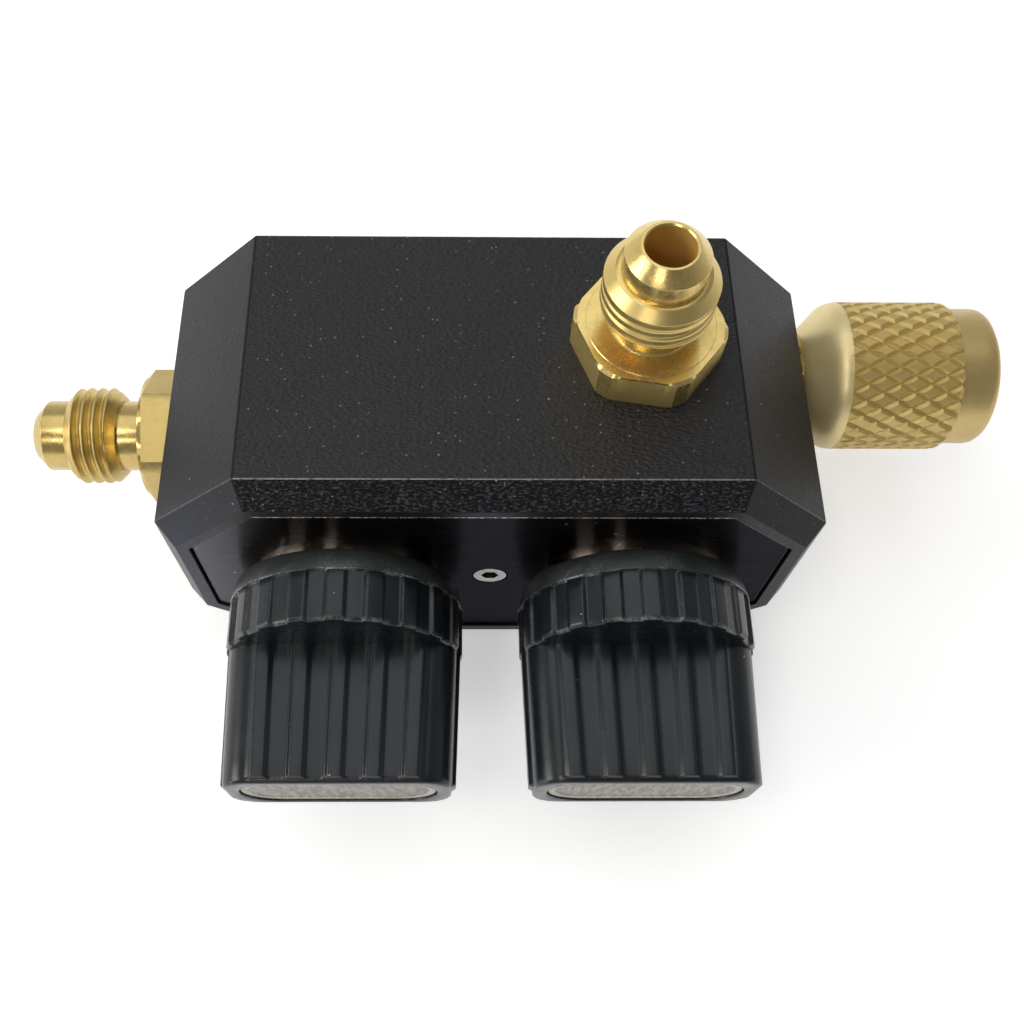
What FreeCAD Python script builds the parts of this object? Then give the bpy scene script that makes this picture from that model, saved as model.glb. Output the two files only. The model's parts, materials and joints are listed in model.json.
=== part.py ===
"""Two-valve vacuum isolation block with flare fittings and a knurled swivel, in millimetres.

The origin is the middle of the face that the block stands on. +X runs from the left flare
fitting to the swivel nut, +Y from the knobs to the back, and +Z up to the top flare fitting.
Depths in the block are measured from the plane of its front rim.
"""
import FreeCAD, Part
import math
import os
import re
import Sketcher
from FreeCAD import Placement, Rotation, Vector

SIZES = [
    # the block and its front plate
    ("block_width", 70.0, "block, side to side"),
    ("block_height", 38.0, "block, bottom to top"),
    ("corner_chamfer", 9.7, "long corners of the block, both legs"),
    ("front_slope_depth", 2.5, "sloped front edge, front to back"),
    ("front_slope_inset", 2.2, "sloped front edge, inwards"),
    ("rear_chamfer", 0.35, "broken rear edge"),
    ("rear_wall", 5.5, "gallery axis to the back face"),
    ("rim_band", 1.35, "flat rim around the front plate"),
    ("plate_thickness", 3.0, "front plate"),
    ("plate_setback", 0.3, "front plate below the rim"),
    ("plate_gap", 0.25, "groove around the front plate"),
    ("plate_hole_gap", 0.3, "front plate to the bonnet, radial"),
    ("screw_head", 3.9, "plate screw, across the head"),
    ("screw_head_depth", 1.2, "plate screw, depth of the cone"),
    ("screw_shank", 2.4, "plate screw, across the shank"),
    ("screw_length", 8.0, "plate screw, overall"),
    ("screw_point", 0.5, "bevelled end of the plate screw"),
    ("screw_socket", 1.6, "plate screw, across the flats of the socket"),
    ("screw_socket_depth", 0.9, "plate screw, depth of the socket"),
    # passages
    ("valve_spacing", 31.1, "valve axis to valve axis"),
    ("port_depth", 17.9, "valve ball and side ports behind the rim"),
    ("gallery_bore", 5.5, "rear gallery"),
    ("gallery_wall", 0.55, "chamber floor to the gallery"),
    ("gallery_overrun", 0.8, "rear gallery past the left passage"),
    ("passage_bore", 5.0, "passages at each ball"),
    ("port_thread", 9.7, "threaded tails of the flare fittings"),
    ("port_thread_depth", 9.0, "threaded port in the block"),
    ("swivel_thread", 8.0, "threaded tail of the swivel stub"),
    ("drill_point", 1.5, "cone at the end of a drilled hole"),
    # fits
    ("thread_fit", 0.05, "threaded pieces, radial"),
    ("running_fit", 0.05, "stem in its bonnet, radial"),
    ("packing_fit", 0.02, "packing and rings in the chamber, radial"),
    ("ball_fit", 0.05, "ball in its packing, radial"),
    ("ring_gap", 0.03, "sealing rings in their seats"),
    ("socket_fit", 0.05, "knob on its stem, radial"),
    # valve stack
    ("chamber_bore", 13.0, "valve chamber"),
    ("ball_diameter", 9.5, "valve ball"),
    ("ball_bore", 4.8, "way through the ball"),
    ("rear_packing", 5.3, "packing behind the middle of the ball"),
    ("front_packing", 5.5, "packing in front of the middle of the ball"),
    ("thrust_ring_thickness", 1.5, "ring between bonnet and packing"),
    ("bonnet_thread", 16.0, "bonnet"),
    ("bonnet_nose", 0.5, "end of the bonnet inside the chamber"),
    ("bonnet_flange", 20.0, "bonnet flange"),
    ("flange_thickness", 1.5, "bonnet flange"),
    ("flange_round", 0.9, "rounded front edge of the bonnet flange"),
    ("bonnet_groove", 1.4, "length and depth of the bonnet's ring groove"),
    ("bonnet_ring", 1.3, "section of the bonnet ring"),
    ("stem_diameter", 6.0, "valve stem"),
    ("stem_groove", 1.1, "length and depth of each ring groove in the stem"),
    ("stem_ring", 1.0, "section of each stem ring"),
    ("stem_ring_depth", 7.6, "inner stem ring behind the rim"),
    ("stem_ring_pitch", 3.2, "stem ring to stem ring"),
    ("stem_square", 4.2, "square end of the stem"),
    ("stem_reach", 10.5, "stem beyond the bonnet flange"),
    ("stop_pin", 1.6, "quarter-turn stop pin"),
    ("stop_pin_radius", 7.6, "stop pin from the valve axis"),
    ("stop_pin_reach", 3.2, "stop pin beyond the bonnet flange"),
    ("stop_pin_seat", 1.2, "stop pin inside the flange"),
    ("stop_gap", 0.3, "stop pin to each stop rib at its limit"),
    # knob
    ("knob_gap", 0.4, "bonnet flange to the back of the knob"),
    ("knob_diameter", 24.2, "knob rim under its ribs"),
    ("knob_back_diameter", 24.0, "back edge of the knob"),
    ("skirt_length", 2.4, "smooth band behind the ribs"),
    ("rim_length", 5.35, "ribbed rim"),
    ("knob_edge", 0.4, "rounded edges of the knob"),
    ("rib_height", 0.4, "ribs of the knob"),
    ("rib_width", 1.9, "ribs of the knob"),
    ("rib_root", 0.8, "ribs of the knob below their surface"),
    ("rib_end", 0.45, "paddle ribs short of the paddle's end"),
    ("rim_ribs", 20, "ribs around the rim"),
    ("paddle_length", 14.15, "paddle beyond the rim"),
    ("paddle_thickness", 10.0, "paddle under its ribs"),
    ("paddle_root_width", 23.8, "paddle at the rim"),
    ("paddle_end_width", 22.9, "paddle at its end"),
    ("paddle_corner", 3.2, "rounded long corners of the paddle"),
    ("paddle_rib_pitch", 3.95, "rib to rib on the paddle"),
    ("paddle_ribs", 5, "ribs on each side of the paddle"),
    ("side_rib_width", 2.2, "rib along each narrow side of the paddle"),
    ("hub_diameter", 10.4, "hub inside the knob"),
    ("skirt_bore", 20.8, "hollow inside the knob"),
    ("hollow_depth", 6.0, "hollow inside the knob"),
    ("stop_rib", 1.4, "stop ribs inside the knob"),
    ("web_thickness", 1.5, "wall between the stem socket and the screw well"),
    ("knob_screw_head", 5.5, "knob screw, across the head"),
    ("knob_screw_head_height", 2.4, "knob screw"),
    ("knob_screw_shank", 2.5, "knob screw, across the shank"),
    ("knob_screw_grip", 6.0, "knob screw inside the stem"),
    ("knob_screw_socket", 2.5, "knob screw, across the flats of the socket"),
    ("screw_well_gap", 0.3, "knob screw head in its well, radial"),
    ("label_length", 19.2, "blank label strip"),
    ("label_width", 6.4, "blank label strip"),
    ("label_thickness", 1.0, "blank label strip"),
    ("label_recess", 1.2, "recess for the label strip"),
    ("label_gap", 0.1, "label strip in its recess"),
    # flare fittings
    ("flare_thread", 11.11, "7/16 inch flare thread"),
    ("flare_bore", 4.8, "flare fittings, way through"),
    ("hex_flats", 14.0, "hexagon, flat to flat"),
    ("hex_corner_turning", 15.4, "turned corners of the hexagon"),
    ("hex_height", 4.2, "hexagon"),
    ("hex_bevel", 0.45, "bevelled outer corners of the hexagon"),
    ("left_hex_turn", 3.0, "left hexagon about its axis, degrees"),
    ("top_hex_turn", -9.0, "top hexagon about its axis, degrees"),
    ("flare_neck", 8.1, "relief behind and ahead of the thread"),
    ("neck_length", 3.1, "relief behind the thread"),
    ("left_thread", 5.8, "thread of the left fitting"),
    ("top_thread", 5.0, "thread of the top fitting"),
    ("thread_edge", 1.0, "bevelled ends of the flare thread"),
    ("left_collar", 2.7, "plain collar ahead of the left thread"),
    ("top_collar", 2.3, "plain collar ahead of the top thread"),
    ("cone_lip", 0.35, "wall at the mouth of a fitting, ahead of its cone"),
    ("tail_length", 8.5, "threaded tail of a fitting"),
    ("tail_edge", 0.7, "bevelled end of a tail"),
    ("port_ring", 1.2, "section of the ring under a hexagon"),
    # swivel
    ("swivel_bore", 4.8, "swivel stub, way through"),
    ("shoulder_diameter", 9.8, "shoulder of the swivel stub"),
    ("shoulder_length", 1.0, "shoulder of the swivel stub"),
    ("swivel_neck", 8.2, "neck of the swivel stub"),
    ("swivel_fit", 0.08, "nut on the neck, radial"),
    ("nut_gap", 1.0, "shoulder to the back of the nut"),
    ("nut_length", 22.0, "swivel nut"),
    ("nut_diameter", 17.64, "swivel nut over its knurl"),
    ("nut_back_diameter", 10.4, "back end of the swivel nut"),
    ("nut_cone", 3.4, "conical back of the swivel nut"),
    ("nut_band", 1.1, "plain band between cone and knurl"),
    ("nut_round", 2.5, "rounding between cone and band"),
    ("knurl_length", 12.9, "knurled grip"),
    ("collar_diameter", 16.2, "plain end of the swivel nut"),
    ("collar_round", 1.2, "rounded end of the swivel nut"),
    ("nut_web", 5.6, "inner shoulder of the nut ahead of its back"),
    ("nut_float", 0.3, "end float of the nut on the stub"),
    ("stub_head", 9.7, "head of the stub inside the nut"),
    ("stub_head_length", 3.5, "head of the stub inside the nut"),
    ("head_room", 0.5, "nut around the head of the stub, radial"),
    ("nut_thread_length", 10.8, "female thread of the nut"),
    ("mouth_bevel", 0.6, "bevelled mouth of the nut"),
    ("gasket_diameter", 9.2, "gasket in the nut"),
    ("gasket_bore", 4.6, "gasket in the nut"),
    ("gasket_thickness", 1.8, "gasket in the nut"),
    ("key_flats", 4.8, "hexagonal key way inside the stub"),
    ("key_depth", 6.0, "hexagonal key way inside the stub"),
]

SIDES = {"left": -1, "right": 1}
TOLERANCE = 1e-4
FIELDS = {name for name, _, _ in SIZES}

doc = FreeCAD.newDocument("vacuum_isolation_valve")
sheet = doc.addObject("Spreadsheet::Sheet", "Sizes")
for row, (name, number, meaning) in enumerate(SIZES, start=1):
    sheet.set(f"A{row}", meaning)
    sheet.set(f"B{row}", str(number))
    sheet.setAlias(f"B{row}", name)
doc.recompute()

# Places that follow from the sizes, as texts for the expressions of the document.
VALVE_X = "valve_spacing / 2"
VALVE_Z = "block_height / 2"
CHAMBER_FLOOR = "(port_depth + rear_packing)"
GALLERY_DEPTH = f"({CHAMBER_FLOOR} + gallery_wall + gallery_bore / 2)"
BLOCK_DEPTH = f"({GALLERY_DEPTH} + rear_wall)"
PACKING_FRONT = "(port_depth - front_packing)"
BONNET_END = f"({PACKING_FRONT} - thrust_ring_thickness)"
BONNET_STEP = f"({BONNET_END} - bonnet_nose)"
FLANGE_FRONT = "(plate_setback - flange_thickness)"
KNOB_BACK = f"({FLANGE_FRONT} - knob_gap)"
SKIRT_FRONT = f"({KNOB_BACK} - skirt_length)"
RIM_FRONT = f"({SKIRT_FRONT} - rim_length)"
KNOB_END = f"({RIM_FRONT} - paddle_length)"
STEM_END = f"({FLANGE_FRONT} - stem_reach)"
WEB_BACK = f"({STEM_END} - socket_fit)"
WEB_FRONT = f"({WEB_BACK} - web_thickness)"
RECESS_FLOOR = f"({KNOB_END} + label_recess)"
RING_SEAT = "(port_ring + 2 * ring_gap)"
THREAD_START = "(hex_height + neck_length)"
NUT_BACK = "(shoulder_length + nut_gap)"
NUT_FRONT = f"({NUT_BACK} + nut_length)"
NUT_WEB = f"({NUT_BACK} + nut_web)"
HEAD_BACK = f"({NUT_WEB} + nut_float)"
HEAD_FRONT = f"({HEAD_BACK} + stub_head_length)"
KNURL_END = f"({NUT_BACK} + nut_cone + nut_band + knurl_length)"


def ex(text):
    """Turn a formula of plain size names into one that the document reads."""
    return re.sub(r"[a-z_]+", lambda m: f"Sizes.{m[0]}" if m[0] in FIELDS else m[0], str(text))


def size(name):
    """Give the number that a size has now."""
    return float(sheet.get(name))


def new_body(label):
    """Start a piece of its own."""
    body = doc.addObject("PartDesign::Body", label)
    body.Label = label
    return body


def origin_part(body, role):
    """Find one of a body's own origin planes or axes."""
    return next(item for item in body.Origin.OriginFeatures if item.Role == role)


def add(body, kind, name, **values):
    """Add a feature to a body. Texts in values are formulas, other values are set as they are."""
    feature = body.newObject(kind, f"{body.Name}_{name}")
    for key, value in values.items():
        if isinstance(value, str):
            feature.setExpression(key.replace("__", "."), ex(value))
        else:
            setattr(feature, key, value)
    return feature


def attach(body, sketch, plane, offset="0"):
    """Lay a sketch on one of its body's origin planes, moved along the plane's normal."""
    sketch.AttachmentSupport = [(origin_part(body, plane), "")]
    sketch.MapMode = "FlatFace"
    sketch.setExpression("AttachmentOffset.Base.z", ex(offset))


def pin(sketch, geometry, point, u, v):
    """Hold a point of a sketch at two formulas, measured from the sketch's origin."""
    rough = sketch.getPoint(geometry, point)
    for kind, formula, start in (("DistanceX", u, rough.x), ("DistanceY", v, rough.y)):
        index = sketch.addConstraint(Sketcher.Constraint(kind, -1, 1, geometry, point, start))
        sketch.setExpression(f"Constraints[{index}]", ex(formula))


def outline(body, name, plane, points, offset="0", axis=None):
    """Draw a closed outline through points given as pairs of formulas.

    axis, where it is given, is two such points on a construction line to turn about.
    """
    sketch = body.newObject("Sketcher::SketchObject", f"{body.Name}_{name}")
    attach(body, sketch, plane, offset)
    count = len(points)
    rough = [Vector(math.cos(math.tau * i / count), math.sin(math.tau * i / count)) for i in range(count)]
    for i in range(count):
        sketch.addGeometry(Part.LineSegment(rough[i], rough[(i + 1) % count]))
    for i in range(count):
        sketch.addConstraint(Sketcher.Constraint("Coincident", i, 2, (i + 1) % count, 1))
    for i, (u, v) in enumerate(points):
        pin(sketch, i, 1, u, v)
    if axis:
        line = sketch.addGeometry(Part.LineSegment(Vector(0, 0), Vector(1, 1)), True)
        for point, (u, v) in enumerate(axis, start=1):
            pin(sketch, line, point, u, v)
    return sketch


def disc(body, name, plane, radius, centre=("0", "0"), offset="0"):
    """Draw a circle of a given radius."""
    sketch = body.newObject("Sketcher::SketchObject", f"{body.Name}_{name}")
    attach(body, sketch, plane, offset)
    ring = sketch.addGeometry(Part.Circle(Vector(1, 1), Vector(0, 0, 1), 1))
    index = sketch.addConstraint(Sketcher.Constraint("Radius", ring, 1.0))
    sketch.setExpression(f"Constraints[{index}]", ex(radius))
    pin(sketch, ring, 3, *centre)
    return sketch


def slot(body, name, plane, length, width, offset="0"):
    """Draw a strip with round ends about the origin, its length along the sketch's first axis."""
    sketch = body.newObject("Sketcher::SketchObject", f"{body.Name}_{name}")
    attach(body, sketch, plane, offset)
    up = Vector(0, 0, 1)
    sketch.addGeometry(Part.LineSegment(Vector(-2, 1), Vector(2, 1)))
    sketch.addGeometry(Part.ArcOfCircle(Part.Circle(Vector(2, 0), up, 1), -math.pi / 2, math.pi / 2))
    sketch.addGeometry(Part.LineSegment(Vector(2, -1), Vector(-2, -1)))
    sketch.addGeometry(Part.ArcOfCircle(Part.Circle(Vector(-2, 0), up, 1), math.pi / 2, 3 * math.pi / 2))
    for first, second, third, fourth in ((0, 2, 1, 2), (1, 1, 2, 1), (2, 2, 3, 2), (3, 1, 0, 1)):
        sketch.addConstraint(Sketcher.Constraint("Coincident", first, second, third, fourth))
    half_run = f"({length} - {width}) / 2"
    for geometry, point, u, v in ((0, 1, f"-{half_run}", f"{width} / 2"), (0, 2, half_run, f"{width} / 2"),
                                  (2, 1, half_run, f"-{width} / 2"), (2, 2, f"-{half_run}", f"-{width} / 2")):
        pin(sketch, geometry, point, u, v)
    for arc, u in ((1, half_run), (3, f"-{half_run}")):
        middle = sketch.getPoint(arc, 3)
        index = sketch.addConstraint(Sketcher.Constraint("DistanceX", -1, 1, arc, 3, middle.x))
        sketch.setExpression(f"Constraints[{index}]", ex(u))
    return sketch


def hexagon(flats, turn):
    """Give the corners of a hexagon as pairs of formulas."""
    corner = f"({flats}) / sqrt(3)"
    angles = [f"({turn}) * 1 deg + {60 * i} deg" for i in range(6)]
    return [(f"{corner} * cos({angle})", f"{corner} * sin({angle})") for angle in angles]


def octagon(inset):
    """Give the block's outline, set in evenly by a formula, as pairs of formulas."""
    side = f"(block_width / 2 - ({inset}))"
    low, high = f"({inset})", f"(block_height - ({inset}))"
    leg = f"(corner_chamfer - ({inset}) * (2 - sqrt(2)))"
    return [(f"{side} - {leg}", low), (side, f"{low} + {leg}"), (side, f"{high} - {leg}"),
            (f"{side} - {leg}", high), (f"-{side} + {leg}", high), (f"-{side}", f"{high} - {leg}"),
            (f"-{side}", f"{low} + {leg}"), (f"-{side} + {leg}", low)]


def checked(body, cuts):
    """Recompute and make sure that the last feature really added or took away material."""
    before = body.Shape.Volume if body.Shape and not body.Shape.isNull() else 0.0
    doc.recompute()
    change = body.Shape.Volume - before
    if (-change if cuts else change) < TOLERANCE:
        raise RuntimeError(f"{body.Tip.Name} changes nothing")


def turned(body, name, plane, points, axis="V_Axis", offset="0", line=None):
    """Turn a closed outline about an axis of its sketch, or about its own construction line."""
    sketch = outline(body, f"{name}_outline", plane, points, offset, line)
    about = (sketch, ["Axis0" if line else axis])
    feature = add(body, "PartDesign::Revolution", name, Profile=sketch, ReferenceAxis=about, Angle=360)
    checked(body, cuts=False)
    return feature


def grooved(body, name, plane, points, axis="V_Axis", offset="0", line=None):
    """Take away a turned outline."""
    sketch = outline(body, f"{name}_outline", plane, points, offset, line)
    about = (sketch, ["Axis0" if line else axis])
    feature = add(body, "PartDesign::Groove", name, Profile=sketch, ReferenceAxis=about, Angle=360)
    checked(body, cuts=True)
    return feature


def padded(body, name, sketch, length, reverse=False, both_ways=False):
    """Raise a sketch by a formula."""
    feature = add(body, "PartDesign::Pad", name, Profile=sketch, Length=length, Reversed=reverse)
    feature.SideType = "Symmetric" if both_ways else "One side"
    checked(body, cuts=False)
    return feature


def pocketed(body, name, sketch, length, reverse=False):
    """Sink a sketch by a formula."""
    feature = add(body, "PartDesign::Pocket", name, Profile=sketch, Length=length, Reversed=reverse)
    checked(body, cuts=True)
    return feature


def lies_at(edge, axis, value):
    """Tell whether a whole edge lies at one value of x, y or z."""
    return all(abs(getattr(vertex.Point, axis) - value) < TOLERANCE for vertex in edge.Vertexes)


def softened(body, kind, name, test, amount):
    """Fillet or chamfer every edge that passes a test of the edge and the body's box."""
    doc.recompute()
    tip = body.Tip
    box = tip.Shape.optimalBoundingBox(False, False)
    edges = [f"Edge{i}" for i, edge in enumerate(tip.Shape.Edges, start=1) if test(edge, box)]
    if not edges:
        raise RuntimeError(f"{body.Name}_{name} finds no edge")
    key = "Radius" if kind == "Fillet" else "Size"
    feature = add(body, f"PartDesign::{kind}", name, Base=(tip, edges), **{key: amount})
    doc.recompute()
    return feature


def place(body, x="0", y="0", z="0", rotation=None):
    """Put a piece where it belongs. Depths become places along Y, from the middle of the block."""
    if rotation:
        body.Placement = Placement(Vector(), rotation)
    for key, formula in (("x", x), ("y", f"({y}) - {BLOCK_DEPTH} / 2"), ("z", z)):
        body.setExpression(f"Placement.Base.{key}", ex(formula))


def stepped(along, centre, steps):
    """Give the half outline of a stepped hole and the line that it turns about.

    along is the sketch axis that the hole follows, "u" or "v". centre is its place on the
    other axis. steps are (start, end, radius) formulas from the mouth inwards.
    """
    swap = (lambda s, r: (s, r)) if along == "u" else (lambda s, r: (r, s))
    points = [swap(steps[0][0], centre)]
    for start, end, radius in steps:
        points += [swap(start, f"{centre} + {radius}"), swap(end, f"{centre} + {radius}")]
    points.append(swap(steps[-1][1], centre))
    return points, [swap("0", centre), swap("1", centre)]


def make_housing():
    """The block: an eight-sided bar with a sloped front edge, bored for valves and ports."""
    body = new_body("housing")
    bar = outline(body, "section", "XZ_Plane", octagon("0"), "-front_slope_depth")
    padded(body, "bar", bar, f"{BLOCK_DEPTH} - front_slope_depth", reverse=True)
    wide = outline(body, "slope_start", "XZ_Plane", octagon("0"), "-front_slope_depth")
    narrow = outline(body, "slope_end", "XZ_Plane", octagon("front_slope_inset"))
    add(body, "PartDesign::AdditiveLoft", "front_slope", Profile=wide, Sections=[narrow], Ruled=True)
    checked(body, cuts=False)
    softened(body, "Chamfer", "rear_edge", lambda edge, box: lies_at(edge, "y", box.YMax), "rear_chamfer")
    recess = outline(body, "recess_outline", "XZ_Plane", octagon("front_slope_inset + rim_band"))
    pocketed(body, "plate_recess", recess, "plate_setback + plate_thickness")
    for side, sign in SIDES.items():
        x = f"{sign} * {VALVE_X}"
        steps = [("0", BONNET_STEP, "bonnet_thread / 2"), (BONNET_STEP, CHAMBER_FLOOR, "chamber_bore / 2"),
                 (CHAMBER_FLOOR, GALLERY_DEPTH, "passage_bore / 2")]
        points, line = stepped("v", x, steps)
        grooved(body, f"{side}_valve_bore", "XY_Plane", points, offset=VALVE_Z, line=line)
    seat = "port_thread / 2 + port_ring + 2 * ring_gap"
    left = "-block_width / 2"
    steps = [(left, f"{left} + {RING_SEAT}", seat),
             (f"{left} + {RING_SEAT}", f"{left} + port_thread_depth", "port_thread / 2 + thread_fit"),
             (f"{left} + port_thread_depth", f"-{VALVE_X}", "passage_bore / 2")]
    points, line = stepped("u", "port_depth", steps)
    grooved(body, "left_port", "XY_Plane", points, offset=VALVE_Z, line=line)
    top = "block_height"
    steps = [(top, f"{top} - {RING_SEAT}", seat),
             (f"{top} - {RING_SEAT}", f"{top} - port_thread_depth", "port_thread / 2 + thread_fit"),
             (f"{top} - port_thread_depth", VALVE_Z, "passage_bore / 2")]
    points, line = stepped("v", VALVE_X, steps)
    grooved(body, "top_port", "XZ_Plane", points, offset="-port_depth", line=line)
    right = "block_width / 2"
    end = f"-{VALVE_X} - passage_bore / 2 - gallery_overrun"
    steps = [(right, f"{right} - port_thread_depth", "swivel_thread / 2 + thread_fit"),
             (f"{right} - port_thread_depth", end, "gallery_bore / 2")]
    points, line = stepped("u", GALLERY_DEPTH, steps)
    points[-1] = (f"{end} - drill_point", GALLERY_DEPTH)
    grooved(body, "gallery", "XY_Plane", points, offset=VALVE_Z, line=line)
    floor = "(plate_setback + plate_thickness)"
    points, line = stepped("v", "0", [(floor, f"{floor} + screw_length", "screw_shank / 2 + thread_fit")])
    points[-1] = ("0", f"{floor} + screw_length + drill_point")
    grooved(body, "plate_screw_hole", "XY_Plane", points, offset=VALVE_Z, line=line)
    place(body)
    return body


def make_front_plate():
    """The plate in the recess of the block, with a hole for each bonnet and one for its screw."""
    body = new_body("front_plate")
    face = outline(body, "outline", "XZ_Plane", octagon("front_slope_inset + rim_band + plate_gap"),
                   "-plate_setback")
    padded(body, "plate", face, "plate_thickness", reverse=True)
    for side, sign in SIDES.items():
        hole = disc(body, f"{side}_hole_outline", "XZ_Plane", "bonnet_thread / 2 + plate_hole_gap",
                    (f"{sign} * {VALVE_X}", VALVE_Z))
        pocketed(body, f"{side}_hole", hole, "plate_setback + 2 * plate_thickness")
    sink = "plate_setback + screw_head_depth"
    head, shank = "screw_head / 2 + thread_fit", "screw_shank / 2 + 2 * thread_fit"
    points = [("0", "plate_setback"), (head, "plate_setback"), (shank, sink),
              (shank, "plate_setback + plate_thickness"), ("0", "plate_setback + plate_thickness")]
    grooved(body, "screw_hole", "XY_Plane", points, offset=VALVE_Z, line=[("0", "0"), ("0", "1")])
    place(body)
    return body


def make_plate_screw():
    """The countersunk screw between the valves, with a hexagonal socket."""
    body = new_body("plate_screw")
    end = "screw_length"
    points = [("0", "0"), ("screw_head / 2", "0"), ("screw_shank / 2", "screw_head_depth"),
              ("screw_shank / 2", f"{end} - screw_point"), ("screw_shank / 2 - screw_point", end),
              ("0", end)]
    turned(body, "screw", "XY_Plane", points)
    socket = outline(body, "socket_outline", "XZ_Plane", hexagon("screw_socket", "0"))
    pocketed(body, "socket", socket, "screw_socket_depth")
    place(body, y="plate_setback", z=VALVE_Z)
    return body


def make_bonnet(side, sign):
    """The threaded bonnet that closes a valve chamber, with its ring groove and stop pin hole."""
    body = new_body(f"{side}_bonnet")
    bore = "(stem_diameter / 2 + running_fit)"
    thread = "(bonnet_thread / 2 - thread_fit)"
    groove_floor = f"({thread} - bonnet_groove)"
    flange = "bonnet_flange / 2"
    points = [(bore, FLANGE_FRONT), (flange, FLANGE_FRONT), (flange, "plate_setback"),
              (thread, "plate_setback"), (thread, f"{BONNET_STEP} - 2 * bonnet_groove"),
              (groove_floor, f"{BONNET_STEP} - 2 * bonnet_groove"),
              (groove_floor, f"{BONNET_STEP} - bonnet_groove"), (thread, f"{BONNET_STEP} - bonnet_groove"),
              (thread, BONNET_STEP), ("chamber_bore / 2 - packing_fit", BONNET_STEP),
              ("chamber_bore / 2 - packing_fit", BONNET_END), (bore, BONNET_END)]
    turned(body, "bonnet", "XY_Plane", points)
    softened(body, "Fillet", "flange_edge", is_flange_edge, "flange_round")
    hole = disc(body, "pin_hole_outline", "XZ_Plane", "stop_pin / 2", ("0", f"{sign} * stop_pin_radius"),
                f"-{FLANGE_FRONT}")
    pocketed(body, "pin_hole", hole, "stop_pin_seat")
    place(body, x=f"{sign} * {VALVE_X}", z=VALVE_Z)
    return body


def is_flange_edge(edge, box):
    """Pick the outer front edge of a bonnet flange."""
    return lies_at(edge, "y", box.YMin) and edge.Length > math.pi * size("bonnet_flange") - TOLERANCE


def make_stop_pin(side, sign):
    """The pin in the bonnet that the stop ribs of the knob meet after a quarter turn."""
    body = new_body(f"{side}_stop_pin")
    section = disc(body, "section", "XZ_Plane", "stop_pin / 2", ("0", f"{sign} * stop_pin_radius"),
                   f"-({FLANGE_FRONT} + stop_pin_seat)")
    padded(body, "pin", section, "stop_pin_seat + stop_pin_reach")
    place(body, x=f"{sign} * {VALVE_X}", z=VALVE_Z)
    return body


def make_thrust_ring(side, sign):
    """The metal ring that carries the bonnet's load onto the packing."""
    body = new_body(f"{side}_thrust_ring")
    inner, outer = "stem_diameter / 2 + running_fit", "chamber_bore / 2 - packing_fit"
    points = [(inner, BONNET_END), (outer, BONNET_END), (outer, PACKING_FRONT), (inner, PACKING_FRONT)]
    turned(body, "ring", "XY_Plane", points)
    place(body, x=f"{sign} * {VALVE_X}", z=VALVE_Z)
    return body


def make_packing(side, sign, half):
    """Half of the packing around a ball, with its share of the side port."""
    body = new_body(f"{side}_{half}_packing")
    outer = "chamber_bore / 2 - packing_fit"
    if half == "front":
        near, far, inner = PACKING_FRONT, "port_depth", "stem_diameter / 2 + running_fit"
    else:
        near, far, inner = "port_depth", CHAMBER_FLOOR, "passage_bore / 2"
    turned(body, "shell", "XY_Plane", [(inner, near), (outer, near), (outer, far), (inner, far)])
    add(body, "PartDesign::SubtractiveSphere", "ball_pocket", Radius="ball_diameter / 2 + ball_fit",
        Placement__Base__y="port_depth")
    checked(body, cuts=True)
    if side == "left":
        port = disc(body, "port_outline", "YZ_Plane", "passage_bore / 2", ("port_depth", "0"))
        pocketed(body, "port", port, "chamber_bore")
    else:
        port = disc(body, "port_outline", "XY_Plane", "passage_bore / 2", ("0", "port_depth"))
        pocketed(body, "port", port, "chamber_bore", reverse=True)
    place(body, x=f"{sign} * {VALVE_X}", z=VALVE_Z)
    return body


def make_ball_stem(side, sign):
    """Ball and stem in one piece: an angled way from the side to the back, and a square end."""
    body = new_body(f"{side}_ball_stem")
    add(body, "PartDesign::AdditiveSphere", "ball", Radius="ball_diameter / 2",
        Placement__Base__y="port_depth")
    doc.recompute()
    stem, floor = "stem_diameter / 2", "stem_diameter / 2 - stem_groove"
    grooves = []
    for ring in (1, 0):
        middle = f"(stem_ring_depth - {ring} * stem_ring_pitch)"
        start, end = f"{middle} - stem_groove / 2", f"{middle} + stem_groove / 2"
        grooves += [(stem, start), (floor, start), (floor, end), (stem, end)]
    points = [("0", KNOB_BACK), (stem, KNOB_BACK), *grooves, (stem, "port_depth"), ("0", "port_depth")]
    turned(body, "stem", "XY_Plane", points)
    half = "stem_square / 2"
    square = outline(body, "square", "XZ_Plane", box_corners(f"-{half}", half, f"-{half}", half),
                     f"-{KNOB_BACK}")
    padded(body, "drive", square, f"{KNOB_BACK} - {STEM_END}")
    screw_hole = disc(body, "screw_hole_outline", "XZ_Plane", "knob_screw_shank / 2 + thread_fit",
                      offset=f"-{STEM_END}")
    pocketed(body, "screw_hole", screw_hole, "knob_screw_grip + drill_point")
    bore = "ball_bore / 2"
    points = [("0", "port_depth"), (bore, "port_depth"), (bore, f"port_depth + {bore}"),
              (bore, "port_depth + ball_diameter"), ("0", "port_depth + ball_diameter")]
    grooved(body, "back_way", "XY_Plane", points)
    if side == "left":
        way = disc(body, "side_way_outline", "YZ_Plane", bore, ("port_depth", "0"))
        pocketed(body, "side_way", way, "ball_diameter")
    else:
        way = disc(body, "side_way_outline", "XY_Plane", bore, ("0", "port_depth"))
        pocketed(body, "side_way", way, "ball_diameter", reverse=True)
    place(body, x=f"{sign} * {VALVE_X}", z=VALVE_Z)
    return body


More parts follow.
